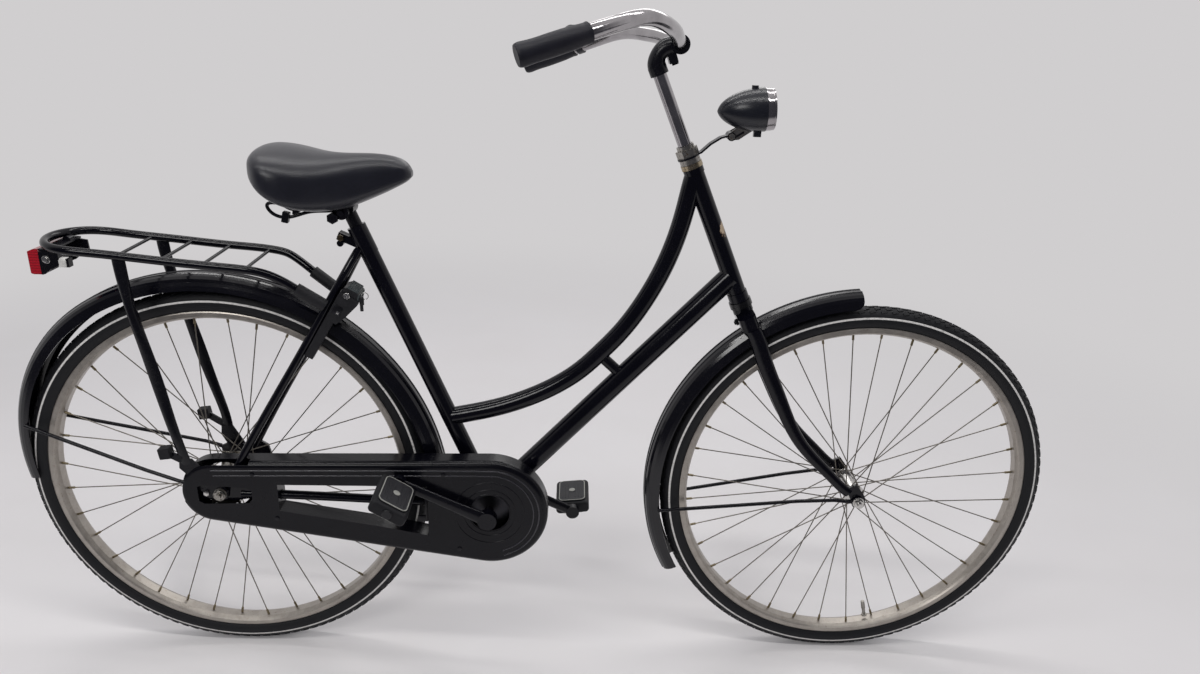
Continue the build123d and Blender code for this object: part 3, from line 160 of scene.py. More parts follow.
# stove enamel: deep black gloss that carries faint dust, fine scratches and a little orange peel
def makeEnamel(name, look):
    mat, tree, shader, coords = startMaterial(name, {
        "IOR": 1.5, "Specular IOR Level": look["shine"]})
    cloud = addNode(tree, "TexNoise", {  # broad clouds of duller lacquer
        "Vector": coords, "Scale": perMetre(71.43), "Detail": 5, "Roughness": 0.55})
    specks = addNode(tree, "TexNoise", {  # dust and pinholes
        "Vector": coords, "Scale": perMetre(1.111), "Detail": 2, "Roughness": 0.55})
    dust = addNode(tree, "ValToRGB", {"Fac": specks, "stops": ((0.60, 0), (0.74, 1))})
    veil = addNode(tree, "ValToRGB", {"Fac": cloud, "stops": ((0.42, 0), (0.7, look["dust"]))})
    dusty = addNode(tree, "Math", {"operation": "MULTIPLY", 0: dust, 1: veil})
    colours = [look["deep"], (cloud, look["lit"]), (dusty, "#8f8a86")]
    along = addNode(tree, "Mapping", {
        "Vector": coords, "Scale": (perMetre(16.67), perMetre(1.111), perMetre(6.25))})
    lines = addNode(tree, "TexNoise", {
        "Vector": along, "Scale": 1.0, "Detail": 2, "Roughness": 0.55})
    scratches = addNode(tree, "ValToRGB", {"Fac": lines, "stops": ((0.66, 0), (0.7, 1))})
    rough = [look["rough"], (cloud, 0.08), (scratches, 0.1)]
    if "chip" in look:  # one spot knocked down to the primer, with an uneven edge
        shape = (1.0, 0.9, 0.42)
        spot = addNode(tree, "Mapping", {
            "Vector": coords, "Scale": shape,
            "Location": [-c * s for c, s in zip(look["chip"], shape)]})
        ragged = addNode(tree, "TexNoise", {
            "Vector": coords, "Scale": perMetre(6.25), "Detail": 4, "Roughness": 0.55})
        away = addNode(tree, "VectorMath", {"operation": "LENGTH", 0: spot})
        away = addNode(tree, "Math", {"operation": "MULTIPLY_ADD", 0: ragged, 1: 0.012, 2: away})
        away = addNode(tree, "Math", {"operation": "MULTIPLY", 0: away, 1: perMetre(20)})
        bare = addNode(tree, "ValToRGB", {"Fac": away, "stops": ((0.64, 1), (0.70, 0))})
        edge = addNode(tree, "ValToRGB", {"Fac": away, "stops": ((0.60, 0), (0.66, 1))})
        primer = addNode(tree, "Mix", {"data_type": "RGBA", 0: edge, 6: "#a3927c", 7: "#5b4636"})
        colours.append((bare, primer))
        rough.append((bare, 0.35))
    peel = addNode(tree, "TexNoise", {  # orange peel
        "Vector": coords, "Scale": perMetre(2.381), "Detail": 2, "Roughness": 0.55})
    dressSurface(tree, shader, colours, rough, [(peel, 0.05, 0.0006), (scratches, 0.06, 0.0002)])
    return mat


# chromium, nickel or brass plate: bright metal, softened by haze and small rust pits
def makePlate(name, look):
    mat, tree, shader, coords = startMaterial(name, {"Metallic": 1.0})
    haze = addNode(tree, "TexNoise", {
        "Vector": coords, "Scale": perMetre(28.57), "Detail": 5, "Roughness": 0.55})
    grains = addNode(tree, "TexNoise", {
        "Vector": coords, "Scale": perMetre(look["pit"]), "Detail": 3, "Roughness": 0.6})
    pits = addNode(tree, "ValToRGB", {
        "Fac": grains, "stops": ((look["pitFrom"], 0), (look["pitFrom"] + 0.06, 1))})
    height = addNode(tree, "Math", {"operation": "ADD", 0: haze, 1: pits})
    dressSurface(tree, shader, [look["dark"], (haze, look["bright"]), (pits, "#5d4a3a")],
                 [look["rough"], (haze, 0.14), (pits, 0.3)], [(height, 0.08, 0.0004)])
    return mat


# zinc plated wheel steel: warm grey with turned rings round the hub and tarnish blooms
def makeWheelSteel(name, look, hub):
    mat, tree, shader, coords = startMaterial(name, {"Metallic": look["metal"]})
    reach, ringed = wheelReach(tree, coords, hub)
    turned = addNode(tree, "TexNoise", {  # turning marks, drawn coarse enough to show
        "Vector": ringed, "Scale": perMetre(0.7143), "Detail": 2, "Roughness": 0.55})
    bloom = addNode(tree, "TexNoise", {
        "Vector": coords, "Scale": perMetre(20.83), "Detail": 5, "Roughness": 0.65})
    grains = addNode(tree, "TexNoise", {
        "Vector": coords, "Scale": perMetre(3.226), "Detail": 4, "Roughness": 0.65})
    spots = addNode(tree, "ValToRGB", {"Fac": grains, "stops": ((0.60, 0), (0.70, 0.6))})
    colours = [look["dark"], (bloom, look["bright"]), (spots, "#6d5c4a")]
    if "brassFrom" in look:  # brass nipples at the outer ends of the spokes
        brass = bandMask(tree, reach, look["brassFrom"], look["brassFrom"] + 0.03, 0.0004)
        colours.append((brass, "#827760"))
    dressSurface(tree, shader, colours, [look["rough"], (bloom, 0.2)], [(turned, 0.12, 0.0003)])
    return mat


# vulcanised tyre rubber: matt charcoal, dusty sidewalls and one narrow white ring on each side
def makeTyreRubber(name, look, hub):
    mat, tree, shader, coords = startMaterial(name, {"IOR": 1.5, "Specular IOR Level": 0.35})
    reach, ringed = wheelReach(tree, coords, hub)
    cloud = addNode(tree, "TexNoise", {
        "Vector": coords, "Scale": perMetre(33.33), "Detail": 5, "Roughness": 0.55})
    grit = addNode(tree, "TexNoise", {
        "Vector": coords, "Scale": perMetre(0.9091), "Detail": 2, "Roughness": 0.55})
    dust = addNode(tree, "ValToRGB", {"Fac": grit, "stops": ((0.62, 0), (0.78, 0.22))})
    rubbed = addNode(tree, "TexNoise", {
        "Vector": coords, "Scale": perMetre(4.167), "Detail": 4, "Roughness": 0.55})
    wear = addNode(tree, "ValToRGB", {"Fac": rubbed, "stops": ((0.25, 0.55), (0.5, 1))})
    ring = bandMask(tree, reach, look["ringFrom"], look["ringTo"], 0.0003)
    ring = addNode(tree, "Math", {"operation": "MULTIPLY", 0: ring, 1: wear})
    mould = addNode(tree, "TexNoise", {  # rings left by the mould
        "Vector": ringed, "Scale": perMetre(1.429), "Detail": 1, "Roughness": 0.55})
    dressSurface(tree, shader,
                 [look["deep"], (cloud, look["lit"]), (dust, look["dust"]), (ring, look["ring"])],
                 [look["rough"], (cloud, 0.22)], [(mould, 0.1, 0.0005), (grit, 0.1, 0.0003)])
    return mat


# moulded rubber and plastic: fine pebbled skin with worn shine
def makeMoulded(name, look):
    mat, tree, shader, coords = startMaterial(name, {
        "IOR": 1.48, "Specular IOR Level": look["shine"]})
    cloud = addNode(tree, "TexNoise", {
        "Vector": coords, "Scale": perMetre(16.67), "Detail": 4, "Roughness": 0.55})
    pebble = addNode(tree, "TexVoronoi", {"Vector": coords, "Scale": perMetre(look["grain"])})
    dressSurface(tree, shader, [look["deep"], (cloud, look["lit"])],
                 [look["rough"], (cloud, 0.18)], [(pebble, look["relief"], 0.0004)])
    return mat


# embossed saddle vinyl: soft charcoal skin with leather creases, their darker colour a painted
# shade, and a broad sheen
def makeVinyl(name, look):
    mat, tree, shader, coords = startMaterial(name, {
        "IOR": 1.5, "Specular IOR Level": look["shine"],
        "Sheen Weight": 0.12, "Sheen Roughness": 0.4})
    cloud = addNode(tree, "TexNoise", {
        "Vector": coords, "Scale": perMetre(55.56), "Detail": 4, "Roughness": 0.55})
    grain = addNode(tree, "TexVoronoi", {  # leather cells
        "feature": "DISTANCE_TO_EDGE", "Vector": coords, "Scale": perMetre(1.923)})
    creases = addNode(tree, "ValToRGB", {"Fac": grain, "stops": ((0, 0), (0.18, 1))})
    skin = addNode(tree, "Mix", {"data_type": "RGBA", 0: cloud, 6: look["deep"], 7: look["lit"]})
    dents = addNode(tree, "TexNoise", {  # soft unevenness of the foam below
        "Vector": coords, "Scale": perMetre(6.25), "Detail": 3, "Roughness": 0.55})
    # the creases get a darker colour: painted shade in the grain's grooves
    dressSurface(tree, shader, [look["creaseShade"], (creases, skin)], [look["rough"], (cloud, 0.14)],
                 [(creases, 0.18, 0.0003), (dents, 0.08, 0.0006)])
    return mat


# a wave's scale for bands this many millimetres apart
def bandScale(pitch):
    return 100 * pi / pitch


# red acrylic lens: clear red over moulded prisms in rows and columns; a lighter red on the prisms
# is painted glints, and a faint emission is a painted glow
def makeRedLens(name, look):
    # the faint red emission is a painted glow
    mat, tree, shader, coords = startMaterial(name, {
        "IOR": 1.49, "Coat Weight": 0.6, "Coat Roughness": 0.05,
        "Emission Color": look["glow"], "Emission Strength": 0.15})
    columns, rows = (
        addNode(tree, "TexWave", {
            "bands_direction": way, "Vector": coords,
            "Scale": bandScale(look["prism"]), "Distortion": 0.0})
        for way in ("Y", "Z"))
    prismsAndGlints = addNode(tree, "Math", {
        "operation": "MULTIPLY", 0: columns.outputs["Fac"], 1: rows.outputs["Fac"]})
    # lighter red where the prisms rise: painted glints
    dressSurface(tree, shader, [look["deep"], (prismsAndGlints, look["lit"])], [look["rough"]],
                 [(prismsAndGlints, 0.35, 0.0012)])
    return mat


# pressed headlamp glass: clear with upright flutes
def makeLampGlass(name, look):
    mat, tree, shader, coords = startMaterial(name, {"IOR": 1.5, "Transmission Weight": 0.95})
    flutes = addNode(tree, "TexWave", {
        "bands_direction": "Y", "Vector": coords,
        "Scale": bandScale(look["flute"]), "Distortion": 0.0})
    dressSurface(tree, shader, [look["clear"]], [look["rough"]],
                 [(flutes.outputs["Fac"], 0.3, 0.001)])
    return mat


# headset cups: the lower one is enamelled with the frame, the upper one plated, worn to brass
def makeCupFinish(name, look):
    mat, tree, shader, coords = startMaterial(name, {"IOR": 1.5})
    height = addNode(tree, "SeparateXYZ", {"Vector": coords}).outputs["Z"]
    low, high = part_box("headset_cups")
    upper, edge = (addNode(tree, "Math", {"operation": "GREATER_THAN", 0: height, 1: level})
                   for level in ((low.z + high.z) / 2, high.z - look["brassWidth"] / 1000))
    worn = addNode(tree, "TexNoise", {
        "Vector": coords, "Scale": perMetre(3.333), "Detail": 4, "Roughness": 0.55})
    kept = addNode(tree, "Math", {"operation": "MULTIPLY", 0: edge, 1: worn})
    plate = addNode(tree, "Mix", {
        "data_type": "RGBA", 0: kept, 6: look["brass"], 7: look["plate"]})
    setValues(tree, shader, {"Metallic": upper})
    dressSurface(tree, shader, [look["enamel"], (upper, plate)], [look["rough"], (worn, 0.2)], [])
    return mat


enamel = {"deep": "#020207", "lit": "#07070f", "rough": 0.09, "shine": 0.3, "dust": 0.08}
frameEnamel = makeEnamel("blackStoveEnamel", enamel)
guardEnamel = makeEnamel("mudguardEnamel", {**enamel, "rough": 0.1, "shine": 0.5, "dust": 0.18})
caseEnamel = makeEnamel("chainCaseLacquer", {
    **enamel, "deep": "#030308", "lit": "#090910", "rough": 0.2, "dust": 0.15, "shine": 0.24})
# the case's ridges wear a lighter lacquer than the case: painted highlight lines along them
ridgeHighlightEnamel = makeEnamel("ridgePaintedHighlightLacquer", {
    **enamel, "deep": "#141418", "lit": "#2a2930", "rough": 0.18, "shine": 0.6})
headEnamel = makeEnamel("headTubeEnamel", {**enamel, "chip": place(865, -12, 497)})
satinEnamel = makeEnamel("satinBlackEnamel", {
    **enamel, "deep": "#04040a", "lit": "#0b0b12", "rough": 0.22, "shine": 0.28, "dust": 0.15})
lampEnamel = makeEnamel("lampShellEnamel", {
    **enamel, "deep": "#090b13", "lit": "#12151f", "rough": 0.26, "shine": 0.55, "dust": 0.05})

# plated metals; pit is the size of a rust grain in mm, and a higher pitFrom leaves fewer pits
chromePlate = makePlate("chromiumPlate", {
    "dark": "#8a8789", "bright": "#bfbcbe", "rough": 0.07, "pit": 2.381, "pitFrom": 0.72})
dullPlate = makePlate("agedNickelPlate", {
    "dark": "#77746f", "bright": "#b9b6b0", "rough": 0.24, "pit": 2.778, "pitFrom": 0.6})
brassPlate = makePlate("tarnishedBrass", {
    "dark": "#3f372c", "bright": "#776a52", "rough": 0.28, "pit": 2.381, "pitFrom": 0.62})
# near-black steel; on the chainring it is painted shade inside the chain case, and the lock's
# slider uses it too
darkSteelAndCaseShade = makePlate("darkSteelWithPaintedShade", {
    "dark": "#26262a", "bright": "#4a4a4e", "rough": 0.3, "pit": 2.381, "pitFrom": 0.66})
steelBright = makePlate("polishedSteel", {
    "dark": "#a9a8a6", "bright": "#e4e2df", "rough": 0.16, "pit": 2.0, "pitFrom": 0.7})

rimLook = {"metal": 0.8, "dark": "#87817a", "bright": "#bcb6ae", "rough": 0.26}
spokeLook = {"metal": 0.9, "dark": "#5a5650", "bright": "#8f8a82",
             "rough": 0.34, "brassFrom": 0.292}
frontRimSteel = makeWheelSteel("frontRimSteel", rimLook, frontHub)
rearRimSteel = makeWheelSteel("rearRimSteel", rimLook, rearHub)
frontSpokeSteel = makeWheelSteel("frontSpokeWire", spokeLook, frontHub)
rearSpokeSteel = makeWheelSteel("rearSpokeWire", spokeLook, rearHub)
tyreLook = {"deep": "#07080c", "lit": "#111217", "dust": "#4a4849", "ring": "#c9c7c4", "rough": 0.5,
            "ringFrom": 0.3408, "ringTo": 0.3440}  # metres out from the axle
frontTyreRubber = makeTyreRubber("frontTyreRubber", tyreLook, frontHub)
rearTyreRubber = makeTyreRubber("rearTyreRubber", tyreLook, rearHub)

# rubbers and plastics; grain is the width of the skin's pebbles in mm
gripRubber = makeMoulded("gripRubber", {
    "deep": "#0c0c15", "lit": "#171722", "rough": 0.4,
    "shine": 0.34, "grain": 1.111, "relief": 0.12})
blockRubber = makeMoulded("blockRubber", {
    "deep": "#0f0f12", "lit": "#1c1c20", "rough": 0.55,
    "shine": 0.3, "grain": 1.429, "relief": 0.15})
padRubber = makeMoulded("pedalPadRubber", {
    "deep": "#18181c", "lit": "#26262b", "rough": 0.45,
    "shine": 0.4, "grain": 1.25, "relief": 0.2})
edgeRubber = makeMoulded("paleEdgeRubber", {
    "deep": "#85857f", "lit": "#a5a59f", "rough": 0.5,
    "shine": 0.3, "grain": 1.111, "relief": 0.1})
lockPlastic = makeMoulded("lockHousing", {
    "deep": "#262b2d", "lit": "#42494a", "rough": 0.38,
    "shine": 0.45, "grain": 1.25, "relief": 0.06})
blackPlastic = makeMoulded("blackNylon", {
    "deep": "#101013", "lit": "#1b1b1f", "rough": 0.35,
    "shine": 0.45, "grain": 1.111, "relief": 0.05})
sleeveRubber = makeMoulded("texturedSleeve", {
    "deep": "#0c0c0f", "lit": "#1f1f24", "rough": 0.5, "shine": 0.4, "grain": 3.03, "relief": 0.5})
clearSleeve = makeMoulded("milkyNylonSleeve", {
    "deep": "#b9b8b4", "lit": "#dddcd8", "rough": 0.3, "shine": 0.5, "grain": 2.0, "relief": 0.08})
saddleVinyl = makeVinyl("saddleVinyl", {
    "deep": "#0e0f1a", "lit": "#151725", "creaseShade": "#080911", "rough": 0.28, "shine": 0.55})
# the lens's lighter red is painted glints on its prisms, and its glow a painted glow
redLens = makeRedLens("redAcrylic", {
    "deep": "#7d0a18", "lit": "#b81626", "glow": "#4a0408", "rough": 0.12, "prism": 4.488})
lampGlass = makeLampGlass("flutedGlass", {"clear": "#fafcfc", "rough": 0.04, "flute": 5.712})
cupFinish = makeCupFinish("headsetCupPlate", {
    "enamel": "#060608", "brass": "#8d7850", "plate": "#b9b0a0", "rough": 0.16, "brassWidth": 19.5})
print("materials made")

# the finish of each CAD node
finishes = {
    frameEnamel: ["loop_top_tube", "down_tube", "seat_tube", "bottom_bracket_shell", "chain_stays",
                  "seat_stays", "rear_dropouts", "carrier_rail", "fork_crown", "fork_blades"],
    headEnamel: ["head_tube"],
    guardEnamel: ["rear_mudguard", "front_mudguard"],
    caseEnamel: ["chain_case"],
    satinEnamel: ["carrier_bars", "carrier_legs", "rear_guard_stays", "front_guard_stays",
                  "tail_light_bracket", "lamp_bracket", "right_crank", "left_crank", "saddle_clamp",
                  "saddle_rails", "seat_post", "bracket_spindle", "stem_clamp"],
    lampEnamel: ["headlamp_shell", "bell"],
    chromePlate: ["stem_quill", "handlebar", "headlamp_rim"],
    dullPlate: ["headset_nuts", "rear_hub", "rear_sprocket", "rear_axle", "pedal_pins"],
    # the chainring's near-black is painted shade inside the chain case
    darkSteelAndCaseShade: ["chainring"],
    steelBright: ["front_hub", "front_axle"],
    cupFinish: ["headset_cups"],
    frontRimSteel: ["front_rim"],
    rearRimSteel: ["rear_rim"],
    frontSpokeSteel: ["front_spokes"],
    rearSpokeSteel: ["rear_spokes"],
    frontTyreRubber: ["front_tyre"],
    rearTyreRubber: ["rear_tyre"],
    gripRubber: ["grips"],
    blockRubber: ["strap_hooks", "right_pedal", "left_pedal"],
    sleeveRubber: ["carrier_sleeves"],
    blackPlastic: ["ring_lock"],
    redLens: ["tail_light"],
    lampGlass: ["headlamp_lens"],
    saddleVinyl: ["saddle_cover"],
}
for mat, names in finishes.items():
    for name in names:
        nodes[name].data.materials.clear()
        nodes[name].data.materials.append(mat)


# gathers a bmesh into one smooth piece that rides on a body; sizes below are in millimetres
def finishPiece(name, bm, body, mat, angle=35, weld=True):
    if weld:
        bmesh.ops.remove_doubles(bm, verts=bm.verts, dist=0.00001)
        bmesh.ops.recalc_face_normals(bm, faces=bm.faces)
    mesh = bpy.data.meshes.new(name)
    bm.to_mesh(mesh)
    bm.free()
    mesh.shade_smooth()
    mesh.set_sharp_from_angle(angle=radians(angle))
    piece = bpy.data.objects.new(name, mesh)
    bpy.context.scene.collection.objects.link(piece)
    mesh.materials.append(mat)
    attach(piece, body)
    return piece


def bevelEdges(bm, edges, width, segments):
    bmesh.ops.bevel(bm, geom=edges, offset=width / 1000, segments=segments, profile=0.5,
                    affect="EDGES", material=-1)


# a rod between two places; few sides make it a nut, and a bevel rounds its two ends
def addRod(bm, start, end, radius, sides, bevel=0.0, endRadius=None):
    run = end - start
    at = Matrix.Translation((start + end) / 2) @ run.to_track_quat("Z", "Y").to_matrix().to_4x4()
    made = bmesh.ops.create_cone(
        bm, cap_ends=True, segments=sides, radius1=radius / 1000,
        radius2=(endRadius or radius) / 1000, depth=run.length, matrix=at)
    if bevel > 0:
        verts = set(made["verts"])
        rims = [e for e in bm.edges
                if verts.issuperset(e.verts) and any(len(f.verts) > 4 for f in e.link_faces)]
        bevelEdges(bm, rims, bevel, 2)


def addBlock(bm, size, at, bevel=0.0, segments=2):
    scale = Matrix.Diagonal((*(v / 1000 for v in size), 1))
    verts = bmesh.ops.create_cube(bm, size=1.0, matrix=at @ scale)["verts"]
    edges = list(dict.fromkeys(e for v in verts for e in v.link_edges))
    if bevel > 0:
        bevelEdges(bm, edges, bevel, segments)
    return edges


# turned shape: an outline of (along the axis, radius) spun once round it
def addTurned(bm, outline, centre, steps, axis=(0, 1, 0), side=None):
    axis = Vector(axis).normalized()
    side = side or axis.orthogonal().normalized()
    verts = [bm.verts.new(centre + (axis * along + side * radius) / 1000)
             for along, radius in outline]
    edges = [bm.edges.new(pair) for pair in zip(verts, verts[1:])]
    bmesh.ops.spin(bm, geom=verts + edges, cent=centre, axis=axis, angle=2 * pi, steps=steps,
                   use_merge=True)


# one piece of several rods, each (start, end, radius, sides, bevel, radius at its end)
def rodPiece(name, body, mat, rods):
    bm = bmesh.new()
    for rod in rods:
        addRod(bm, *rod)
    finishPiece(name, bm, body, mat)


# one piece of several blocks, each (size, middle, bevel, segments of the bevel)
def blockPiece(name, body, mat, blocks):
    bm = bmesh.new()
    for size, spot, *bevel in blocks:
        addBlock(bm, size, Matrix.Translation(place(*spot)), *bevel)
    finishPiece(name, bm, body, mat)


# wire along a smooth line that its control points pull into shape
def wirePiece(name, points, radius, body, mat, roundness=6, cyclic=False):
    curve = bpy.data.curves.new(name + "Line", "CURVE")
    curve.dimensions = "3D"
    curve.bevel_depth = radius / 1000
    curve.bevel_resolution = roundness
    curve.use_fill_caps = True
    curve.resolution_u = 10
    spline = curve.splines.new("NURBS")
    spline.points.add(len(points) - 1)
    for point, spot in zip(spline.points, points):
        point.co = (*spot, 1)
    spline.use_cyclic_u = cyclic
    spline.use_endpoint_u = not cyclic
    spline.order_u = 3
    holder = bpy.data.objects.new(name + "Line", curve)
    bm = bmesh.new()
    bm.from_mesh(bpy.data.meshes.new_from_object(holder))
    bpy.data.objects.remove(holder)
    finishPiece(name, bm, body, mat)


# saddle: moulded foam under vinyl, lofted from its tail to its nose
saddle = {
    "sections": [  # ahead, half width, top, underside
        (100, 38, 590, 572), (101.5, 50, 595, 566), (105, 66, 601, 557), (113.5, 82, 605, 545.5),
        (126, 94, 607, 531), (144, 99, 606.2, 518.5), (166, 97, 603.2, 509.5),
        (190, 86, 598.6, 504), (215, 68.5, 595, 503.5), (245, 51, 594.8, 507.5),
        (275, 39.5, 596.2, 520), (305, 32, 595.4, 533.5), (328, 26, 590.4, 545.5),
        (338, 21.5, 585, 551), (344.5, 16, 578, 556), (347.5, 10.5, 571, 560)],
    "around": 40, "widestAt": 0.6, "topRound": 0.62, "lowRound": 0.5,
    "seam": 4, "ends": (-1.2, 1.0), "smoothing": 2, "fill": 0.9,
    "clampBolt": (224, 496),
}


def saddleRing(section, turn):
    x, half, top, low = section
    up, across = cos(turn), sin(turn)
    widest = saddle["widestAt"]
    if up >= 0:
        drop = widest * (1 - up ** saddle["topRound"])
    else:
        drop = widest + (1 - widest) * (-up) ** saddle["lowRound"]
    return place(x, half * across, top - (top - low) * drop)


def makeSaddle():
    bm = bmesh.new()
    count = saddle["around"]
    ring = bmesh.ops.create_circle(bm, segments=count, radius=1.0)["verts"]
    ring.sort(key=lambda v: atan2(v.co.y, v.co.x) % (2 * pi))
    tail = ring
    for section in saddle["sections"]:
        if section is not saddle["sections"][0]:
            edges = [bm.edges.get((ring[i], ring[(i + 1) % count])) for i in range(count)]
            grown = bmesh.ops.extrude_edge_only(bm, edges=edges)["geom"]
            follow = {}
            for vert in (v for v in grown if isinstance(v, bmesh.types.BMVert)):
                for edge in vert.link_edges:
                    if edge.other_vert(vert) in ring:
                        follow[ring.index(edge.other_vert(vert))] = vert
            ring = [follow[i] for i in range(count)]
        for i, vert in enumerate(ring):
            vert.co = saddleRing(section, 2 * pi * i / count)
    for end, push in zip((tail, ring), saddle["ends"]):
        face = bm.faces.new(end)
        bmesh.ops.inset_individual(bm, faces=[face], thickness=saddle["seam"] / 1000, depth=0.0)
        for vert in face.verts:
            vert.co.x += push / 1000
    piece = finishPiece("saddlePad", bm, "frame", saddleVinyl, 80)
    smooth = piece.modifiers.new("round", "SUBSURF")
    smooth.levels = smooth.render_levels = saddle["smoothing"]
    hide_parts("saddle_cover")


makeSaddle()

# the clamp's cross bolt with a nut at each end
x, z = saddle["clampBolt"]
rodPiece("saddleClampBolt", "frame", satinEnamel, [
    (place(x, -34, z), place(x, 34, z), 6.2, 20, 0.8),
    (place(x, -41, z), place(x, -34, z), 9.5, 6, 0.8),
    (place(x, 34, z), place(x, 41, z), 9.5, 6, 0.8)])
print("saddle made")

# tyre tread: rows of rubber blocks round each tyre, as (degrees off the crown, shift in steps)
tread = {"steps": 112, "rows": [(-40, 0.5), (-20, 0), (0, 0.5), (20, 0), (40, 0.5)],
         "block": (10.5, 4.8, 2.2), "core": 337.5, "reach": 20, "skew": 18}


def makeTread(name, hub, body, mat):
    bm = bmesh.new()
    for step in range(tread["steps"]):
        for lean, shift in tread["rows"]:
            around = 2 * pi * (step + shift) / tread["steps"]
            skew = radians(tread["skew"]) * ((lean > 0) - (lean < 0))
            core = Matrix.Rotation(around, 4, "Y") @ shiftBy(0, 0, tread["core"])
            crown = Matrix.Rotation(radians(lean), 4, "X") @ shiftBy(0, 0, tread["reach"])
            at = Matrix.Translation(hub) @ core @ crown @ Matrix.Rotation(skew, 4, "Z")
            addBlock(bm, tread["block"], at)
    finishPiece(name, bm, body, mat, 30, weld=False)


makeTread("frontTread", frontHub, "front_wheel", frontTyreRubber)
makeTread("rearTread", rearHub, "rear_wheel", rearTyreRubber)

# valves with their lock nuts and caps, one in each rim, as (from, to, radius) out from the hub
valve = {"turns": {"front": 283.6, "rear": 59.8}, "stem": (303, 275, 3.1), "nut": (302.8, 299, 5.8),
         "cap": (285, 268, 4.2), "capEnd": 3.6}
for end, hub in (("front", frontHub), ("rear", rearHub)):
    turn = radians(valve["turns"][end])
    out = Vector((cos(turn), 0, sin(turn))) / 1000
    stem, nut, cap = ((hub + out * foot, hub + out * tip, radius)
                      for foot, tip, radius in (valve["stem"], valve["nut"], valve["cap"]))
    rodPiece(end + "Valve", end + "_wheel", dullPlate, [
        (*stem, 16), (*nut, 6, 0.4), (*cap, 12, 0.6, valve["capEnd"])])
print("tread and valves made")

# chain case: pressed ridges along its top in a lighter lacquer that paints highlight lines on them,
# rings round the crank hole, screws and a clip
case = {
    "face": -71, "rear": (-10, 3, 60), "front": (476, -31, 104),  # its ends: x, z and radius
    "ridges": {  # inset from the outline, where it starts in degrees, radius
        "caseRidgeOuter": (15, 0, 1.7), "caseRidgeInner": (25, -6, 1.4)},
    "ridgeTurns": range(0, 166, 15), "crank": (475, -28), "rings": (38.2, 47, 62),
    "screws": [(96, -46), (60, 42), (394, 48), (420, -104)],
    "clip": [((4, 18, 46), (362, -60, -26), 0.8), ((18, 3, 12), (355, -66, -44), 0.6)],
}


# from the rear end over the top and round the front end, inside the case's outline
def caseLine(inset, start):
    rearX, rearZ, rearRadius = case["rear"]
    frontX, frontZ, frontRadius = case["front"]
    run = Vector((frontX - rearX, frontZ - rearZ))
    wider = frontRadius - rearRadius
    up = atan2(run.y, run.x) + pi - atan2(sqrt(run.length ** 2 - wider ** 2), wider)
    spots = [(rearX, rearZ, rearRadius - inset, up + radians(start))]
    for turn in case["ridgeTurns"]:
        spots.append((frontX, frontZ, frontRadius - inset, up - radians(turn)))
    return [place(x + radius * cos(angle), case["face"], z + radius * sin(angle))
            for x, z, radius, angle in spots]


for name, (inset, start, radius) in case["ridges"].items():
    wirePiece(name, caseLine(inset, start), radius, "frame", ridgeHighlightEnamel)
bm = bmesh.new()
crankX, crankZ = case["crank"]
for radius in case["rings"]:
    bead = [(0.2, radius - 1.1), (-0.9, radius - 0.4), (-0.9, radius + 0.4), (0.2, radius + 1.1)]
    addTurned(bm, bead, place(crankX, case["face"], crankZ), 72, side=Vector((1, 0, 0)))
finishPiece("caseRings", bm, "frame", caseEnamel, 60)
rodPiece("caseScrews", "frame", satinEnamel, [
    (place(x, case["face"] + 0.5, z), place(x, case["face"] - 1.6, z), 4.2, 20, 0.7)
    for x, z in case["screws"]])
blockPiece("caseSlotClip", "frame", satinEnamel, case["clip"])
print("chain case details made")

# pedals: ribbed pads with a pale edge and a round stud on each face, and a cap on the outer end
pedal = {
    "sides": {"right": (-1, 31), "left": (1, -6)},  # side of the bicycle, degrees of pitch at rest
    "pad": (50, 74, 1.6), "padCorner": 9, "edging": (52.5, 76.5, 1.9), "edgingCorner": 10,
    "edgingWidth": 1.6, "rib": (1.6, 56, 1.2), "ribRows": (-3, -2, -1, 1, 2, 3), "ribPitch": 6.4,
    "lift": 14.2, "stud": 6.2,
    "cap": [(-0.5, 8.5), (1.6, 8.5), (2.4, 7.4), (2.4, 0.01)], "capOut": 46,
}


# a plate with round corners: only its upright edges are bevelled
def addPlate(bm, size, at, corner):
    edges = addBlock(bm, size, at)
    upright = [e for e in edges if abs(e.calc_length() * 1000 - size[2]) < 0.2]
    bevelEdges(bm, upright, corner, 5)


for end, (side, turn) in pedal["sides"].items():
    node, body = end + "_pedal", "pedal_" + end
    centre = middle(node)
    level = Matrix.Translation(centre) @ Matrix.Rotation(radians(turn), 4, "Y")
    pads, edging = bmesh.new(), bmesh.new()
    for up in (-1, 1):
        at = level @ shiftBy(0, 0, up * pedal["lift"])
        addPlate(pads, pedal["pad"], at, pedal["padCorner"])
        for row in pedal["ribRows"]:
            addBlock(pads, pedal["rib"], at @ shiftBy(row * pedal["ribPitch"], 0, up * 0.9), 0.3, 1)
        addPlate(edging, pedal["edging"], at, pedal["edgingCorner"])
        flats = [f for f in edging.faces if f.calc_area() > 0.002]
        bmesh.ops.inset_region(edging, faces=flats, thickness=pedal["edgingWidth"] / 1000,
                               use_even_offset=True)
        flats = [f for f in edging.faces if f.calc_area() > 0.002]
        bmesh.ops.delete(edging, geom=flats, context="FACES")  # only the rim shows round the pad
        foot, head = (at @ Vector((0, 0, up * height / 1000)) for height in (0.8, 2.0))
        addRod(edging, foot, head, pedal["stud"], 28, 0.4)
    finishPiece(node + "Pads", pads, body, padRubber)
    finishPiece(node + "Edging", edging, body, edgeRubber)
    bm = bmesh.new()
    outEnd = centre + Vector((0, side * pedal["capOut"] / 1000, 0))
    addTurned(bm, [(side * along, radius) for along, radius in pedal["cap"]], outEnd, 32)
    finishPiece(node + "DustCap", bm, body, blackPlastic)
print("pedals made")

